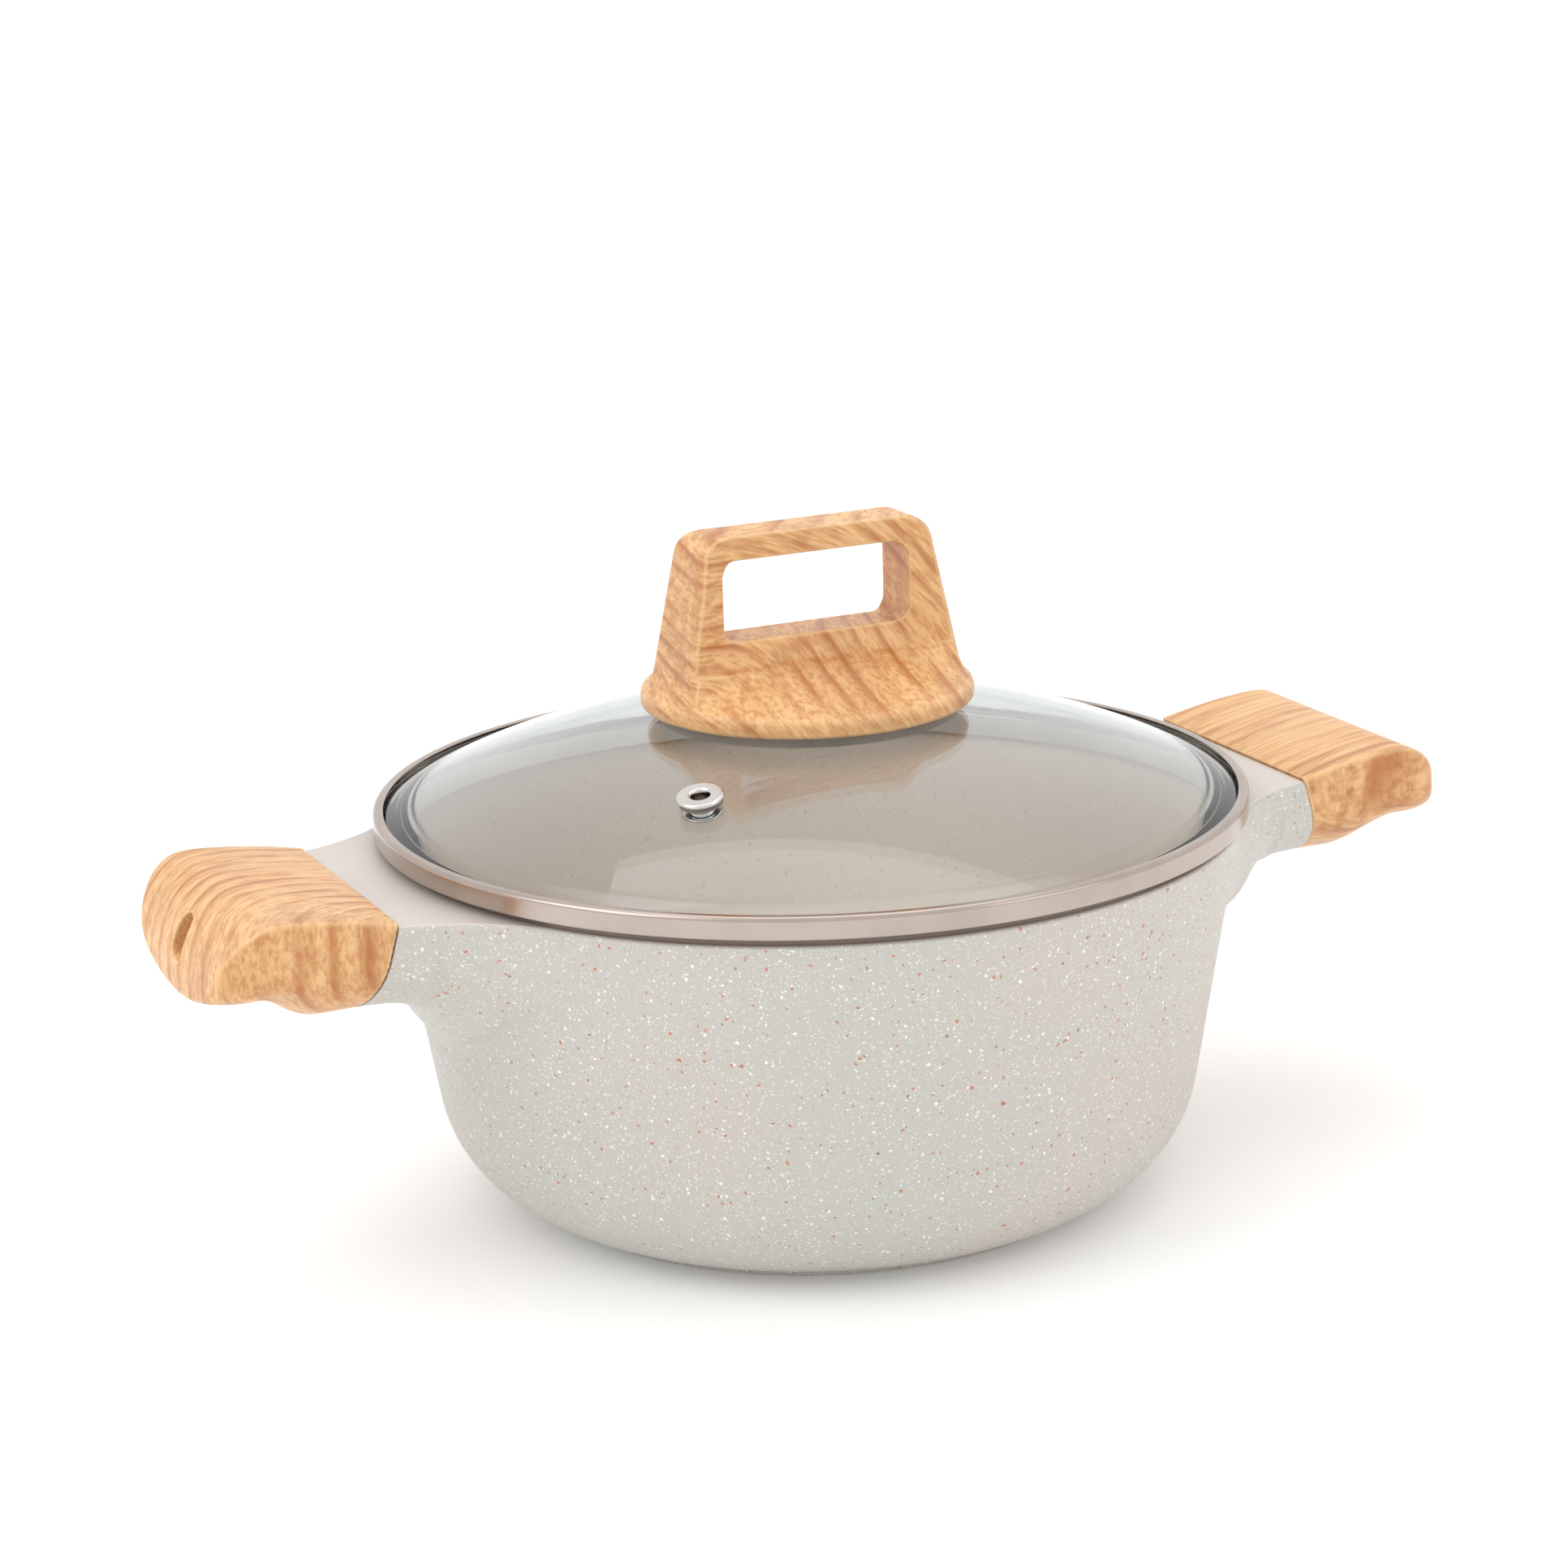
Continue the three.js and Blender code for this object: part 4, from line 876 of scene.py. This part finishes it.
def glass_lid():
    inwards, steps = SCREW_PASSAGE - DOME_RADIUS, 44
    upper = [DOME_RADIUS + inwards * i / steps for i in range(steps + 1)]
    top = [(r, dome_height(r)) for r in upper]
    under = [(r, h - GLASS_THICKNESS) for r, h in reversed(top)][:-1]
    skirt = SKIRT_OUTER - BAND_SHEET
    seat = GLASS_RIM_TOP - GLASS_THICKNESS
    edge = [(skirt, seat), (GLASS_EDGE, seat)]
    edge += arc(GLASS_EDGE - 0.8, GLASS_RIM_TOP - 1, 0.8, 0, 80, 5)
    piece = scratch(turned(under[:-2] + edge + top, 240))
    joined(piece, placed(rod(VENT_HOLE, -8, 3), vent_place()), "DIFFERENCE")
    finished(piece, "glass_dome", "lid", "lid_glass", [GLASS], sharp=30)


def vent():
    flange, tube, bore, foot = EYELET_FLANGE, EYELET_TUBE, EYELET_BORE, EYELET_FOOT
    under, foot_top, half = WASHER_TOP + GAP, -GLASS_THICKNESS - GAP, 0.75
    eyelet = turned(
        arc(bore + 0.4, foot_top - 0.4, 0.4, 180, 270, 4)
        + arc(foot - 0.4, foot_top - 0.4, 0.4, -90, 90, 8)
        + [(tube, foot_top), (tube, under)]
        + arc(flange - half, under + half, half, -90, 90, 12)
        + arc(bore + half + 0.35, under + half, half, 90, 180, 8)
        + [(bore, under)], 72,
    )
    piece = scratch(placed(eyelet, vent_place()))
    finished(piece, "vent_ring", "lid", "vent_eyelet", [EYELET_STEEL], sharp=50)
    inner, outer = tube + GAP, WASHER_RADIUS
    washer = turned(
        [(inner, GAP)] + arc(outer - 0.3, GAP + 0.3, 0.3, -90, 0, 3)
        + arc(outer - 0.3, WASHER_TOP - 0.3, 0.3, 0, 90, 3) + [(inner, WASHER_TOP)], 72,
    )
    piece = scratch(placed(washer, vent_place()))
    finished(piece, "vent_seal", "lid", "vent_washer", [RUBBER], sharp=50)


# ------------------------------------------------------------------ lid grip


def grip_base():
    return turned(
        [(0, GRIP_LOW), (GRIP_RADIUS - 1, GRIP_LOW), (GRIP_RADIUS, GRIP_LOW + 1)]
        + arc(GRIP_RADIUS - GRIP_EDGE, GRIP_SIDE - GRIP_EDGE, GRIP_EDGE, 0, 76, 8)
        + [(0, GRIP_SIDE)], 160,
    )


def bridge_halves(z):
    drop = (GRIP_TOP - z) / (GRIP_TOP - GRIP_SIDE)
    length = BRIDGE_TOP_LENGTH + BRIDGE_LENGTHENS * drop
    return length / 2, (BRIDGE_TOP_WIDTH + BRIDGE_WIDENS * drop) / 2


def grip_crown():
    """The base's top: it runs up from the round edge to the bridge's straight foot."""
    rim = GRIP_RADIUS - GRIP_EDGE * 0.9
    half_x, half_y = bridge_halves(GRIP_CREASE)
    turns = [2 * pi * i / 160 for i in range(160)]

    def circle(z):
        return [Vector((rim * cos(a), rim * sin(a), z)) for a in turns]

    foot = []
    for a in turns:
        reach = min((half_x - GRIP_CORNER / 2) / max(abs(cos(a)), 1e-6),
                    half_y / max(abs(sin(a)), 1e-6))
        foot.append(Vector((reach * cos(a), reach * sin(a), GRIP_CREASE)))
    return lofted([circle(GRIP_SIDE - GRIP_EDGE), circle(GRIP_SIDE), foot])


def grip_bridge():
    levels = [GRIP_LOW + 3, GRIP_TOP - GRIP_END_ROUND]
    levels += [GRIP_TOP - GRIP_END_ROUND * (1 - sin(pi / 2 * i / 14)) for i in range(1, 15)]
    sections = []
    for z in levels:
        half_x, half_y = bridge_halves(z)
        x, y = (
            half - edge + sqrt(edge**2 - max(z - (GRIP_TOP - edge), 0) ** 2) - GRIP_CORNER
            for half, edge in ((half_x, GRIP_END_ROUND), (half_y, GRIP_SIDE_ROUND))
        )
        outline = []
        for quarter, (sx, sy) in enumerate(((1, 1), (-1, 1), (-1, -1), (1, -1))):
            for i in range(9):
                a = pi / 2 * (quarter + i / 8)
                outline.append(Vector((sx * x + GRIP_CORNER * cos(a),
                                       sy * y + GRIP_CORNER * sin(a), z)))
        sections.append(outline)
    return lofted(sections)


def waist_hollow():
    """What is hollowed out of the bridge's front, flaring out below the opening."""
    drop = OPENING_LOW - GRIP_CREASE
    levels = [GRIP_CREASE + drop * i / 10 for i in range(11)] + [GRIP_TOP + 1]
    sections = []
    for z in levels:
        half_x, half_y = bridge_halves(z)
        above = min((z - GRIP_CREASE) / drop, 1)
        deep = sqrt(1 - (1 - above) ** 2)
        waist = half_y + (WAIST / 2 - half_y) * deep
        inner = OPENING_LENGTH / 2 - GRIP_CORNER
        slant = (half_y - waist) / (half_x - inner)
        outer, edge = half_x + GRIP_CORNER * 2, half_y + GRIP_CORNER * 2 * slant
        outline = [(-outer, -GRIP_RADIUS), (outer, -GRIP_RADIUS), (outer, -edge),
                   (inner, -waist), (-inner, -waist), (-outer, -edge)]
        sections.append([Vector((x, y, z)) for x, y in outline])
    return lofted(sections)


def finger_opening():
    bar = rounded_bar(OPENING_LENGTH, OPENING_TOP - OPENING_LOW, OPENING_CORNER, 100)
    middle = (OPENING_TOP + OPENING_LOW) / 2
    return placed(bar, Matrix.Translation((0, 50, middle)) @ Matrix.Rotation(pi / 2, 4, "X"))


def lid_grip(finish):
    piece = scratch(grip_bridge())
    joined(piece, waist_hollow(), "DIFFERENCE")
    joined(piece, half_turn(waist_hollow()), "DIFFERENCE")
    joined(piece, grip_crown())
    joined(piece, grip_base())
    joined(piece, finger_opening(), "DIFFERENCE")
    low, roof = GRIP_LOW - 1, GRIP_LOW + HOLLOW_DEPTH
    hollow = turned([(HOLLOW_INNER, low), (HOLLOW_OUTER, low), (HOLLOW_OUTER, roof),
                     (HOLLOW_INNER, roof)], 96)
    joined(piece, hollow, "DIFFERENCE")
    joined(piece, rod(BOSS_BORE, low, GRIP_LOW + BOSS_DEPTH), "DIFFERENCE")
    softened(piece, 0.56, 2)
    finished(piece, "bridge_grip", "lid", "lid_grip", [finish])


def ring(name, node_name, inner, finish, steps=64):
    """A plain ring with eased edges, as wide and as high as its node."""
    low, high = box_mm(node_name)
    outer, ease = high.x, min(0.25, (high.z - low.z) / 4)
    piece = scratch(turned(
        [(inner, low.z)]
        + arc(outer - ease, low.z + ease, ease, -90, 0, 4)
        + arc(outer - ease, high.z - ease, ease, 0, 90, 4)
        + [(inner, high.z)], steps,
    ))
    finished(piece, name, "lid", node_name, [finish], sharp=40)


def lid_fixings():
    ring("grip_socket", "grip_insert", FIXING_BORE, BRASS)
    ring("screw_seal", "screw_gasket", FIXING_BORE, RUBBER)
    ring("screw_plate", "screw_washer", FIXING_BORE, SCREW_STEEL)
    piece = node_screw("lid_screw", LID_SCREW_RADIUS, LID_SCREW_HEAD)
    finished(piece, "grip_screw", "lid", "lid_screw", [SCREW_STEEL], sharp=40)
    inner, outer, top = CUSHION_INNER, CUSHION_OUTER, GRIP_LOW - GAP
    radii = [inner + (outer - inner) * i / 12 for i in range(13)]
    under = [(radius, dome_height(radius) + GAP) for radius in radii]
    seat = scratch(turned(under + [(outer, top), (inner, top)], 160))
    finished(seat, "grip_cushion", "lid", "grip_seat", [RUBBER], sharp=40)


def base_plate():
    low, high = box_mm("base_disc")
    piece = scratch(turned(
        [(0, low.z), (DISC_RADIUS - DISC_EDGE, low.z)]
        + arc(DISC_RADIUS - DISC_EDGE, low.z + DISC_EDGE, DISC_EDGE, -90, 0, 4)[1:]
        + [(DISC_RADIUS, high.z), (0, high.z)], 192,
    ))
    finished(piece, "base_plate", "pot", "base_disc", [BASE_STEEL], sharp=40)


# ------------------------------------------------------------------ studio

VIEW_TURN = radians(24.752)
RIGHTWARDS = Vector((cos(VIEW_TURN), -sin(VIEW_TURN), 0))
BACKWARDS = Vector((sin(VIEW_TURN), cos(VIEW_TURN), 0))


def studio_place(right, back, up):
    return RIGHTWARDS * right + BACKWARDS * back + Vector((0, 0, up))


def soft_light(name, place, target, width, height, power, tint=(1, 1, 1)):
    data = bpy.data.lights.new(name, "AREA")
    data.shape, data.size, data.size_y = "RECTANGLE", width, height
    data.energy, data.color = power, tint
    lamp = bpy.data.objects.new(name, data)
    bpy.context.scene.collection.objects.link(lamp)
    aim = (target - place).to_track_quat("-Z", "Y").to_matrix().to_4x4()
    lamp.matrix_world = Matrix.Translation(place) @ aim


def studio():
    bm = bmesh.new()
    bmesh.ops.create_circle(bm, cap_ends=True, segments=96, radius=9)
    floor = scratch(bm, "floor")
    floor.data.transform(Matrix.Translation((0, 0, -0.0002)))
    material, tree, shader, where = new_material("studio_floor")
    uneven = use(tree, UNEVENNESS, {"Vector": where, "Broad": 0.8, "Fine": 40.0})
    tree.links.new(mixed(tree, uneven["Broad"], (0.96, 0.96, 0.96, 1), (0.98, 0.98, 0.98, 1)),
                   shader.inputs["Base Color"])
    shader.inputs["Roughness"].default_value = 0.9
    shader.inputs["Specular IOR Level"].default_value = 0.1
    shader.inputs["Emission Color"].default_value = (1, 1, 1, 1)
    shader.inputs["Emission Strength"].default_value = 0.07
    floor.data.materials.append(material)

    world = bpy.data.worlds.new("studio")
    bpy.context.scene.world = world
    world.use_nodes = True
    world.node_tree.nodes["Background"].inputs[0].default_value = (1, 1, 1, 1)
    world.node_tree.nodes["Background"].inputs[1].default_value = 1.0

    pan = Vector((0, 0, 0.1))
    soft_light("key", studio_place(-1.5, -0.7, 1.7), pan, 1.5, 1.5, 11)
    soft_light("fill", studio_place(1.7, -0.9, 1.1), pan, 1.2, 1.4, 3)
    soft_light("top", studio_place(0.1, 0.5, 2.1), pan, 1.8, 1.4, 7)
    bpy.context.scene.view_settings.view_transform = "Standard"


def camera():
    """A long lens, a little above the lid, with the pan's left handle nearer."""
    away, drop = 1.15935, radians(18.275)
    target = Vector((0, 0, 0.06))
    place = target - BACKWARDS * away * cos(drop) + Vector((0, 0, away * sin(drop)))
    aim = Matrix((RIGHTWARDS, RIGHTWARDS.cross(target - place).normalized(),
                  (place - target).normalized())).transposed().to_4x4()
    pan, tilt, roll = radians(-0.373), radians(2.745), radians(-1.622)
    turn = Matrix.Rotation(-pan, 4, "Y") @ Matrix.Rotation(tilt, 4, "X") @ Matrix.Rotation(
        roll, 4, "Z")
    data = bpy.data.cameras.new("camera")
    data.sensor_width, data.lens = 36, 91.56
    data.clip_end = 50
    seen_from = bpy.data.objects.new("camera", data)
    bpy.context.scene.collection.objects.link(seen_from)
    seen_from.matrix_world = Matrix.Translation(place) @ aim @ turn
    bpy.context.scene.camera = seen_from


UPRIGHT = (0, radians(90), 0)
LEFT_PRINT = timber_print(
    "left_timber_print", centre=(-0.126, -0.05, 0.1), turn=UPRIGHT, stretch=(1, 1, 1.5),
    end_axis=1, end_share=0.6,
    values={"Spacing": 0.0064, "Wander": 0.008, "Streak": 0.85, "Mottle": 0.3, "Turn": 24.0},
)
RIGHT_PRINT = timber_print(
    "right_timber_print", centre=(0.21, -0.07, 0.1), turn=(0, radians(84), radians(5)),
    stretch=(1, 1, 3.4), end_axis=1, end_share=0.75,
    values={"Spacing": 0.0068, "Wander": 0.01, "Streak": 0.85, "Mottle": 0.3, "Turn": 22.0},
)
GRIP_PRINT = timber_print(
    "grip_timber_print", centre=(-0.052, -0.02, 0.128),
    turn=(radians(8), radians(-12), radians(80)), stretch=(1, 1.35, 1), end_axis=0, end_share=0.55,
    values={"Spacing": 0.0052, "Wander": 0.013, "Streak": 0.85, "Mottle": 0.35, "Turn": 24.0},
)

camera()
studio()
cast_body()
base_plate()
sleeve("right_sleeve", "handle_sleeve_right", 1, RIGHT_PRINT)
sleeve("left_sleeve", "handle_sleeve_left", -1, LEFT_PRINT)
sleeve_screw("right_sleeve_screw", "sleeve_screw_right", 1)
sleeve_screw("left_sleeve_screw", "sleeve_screw_left", -1)
steel_band()
glass_lid()
vent()
lid_grip(GRIP_PRINT)
lid_fixings()

bpy.context.view_layer.update()
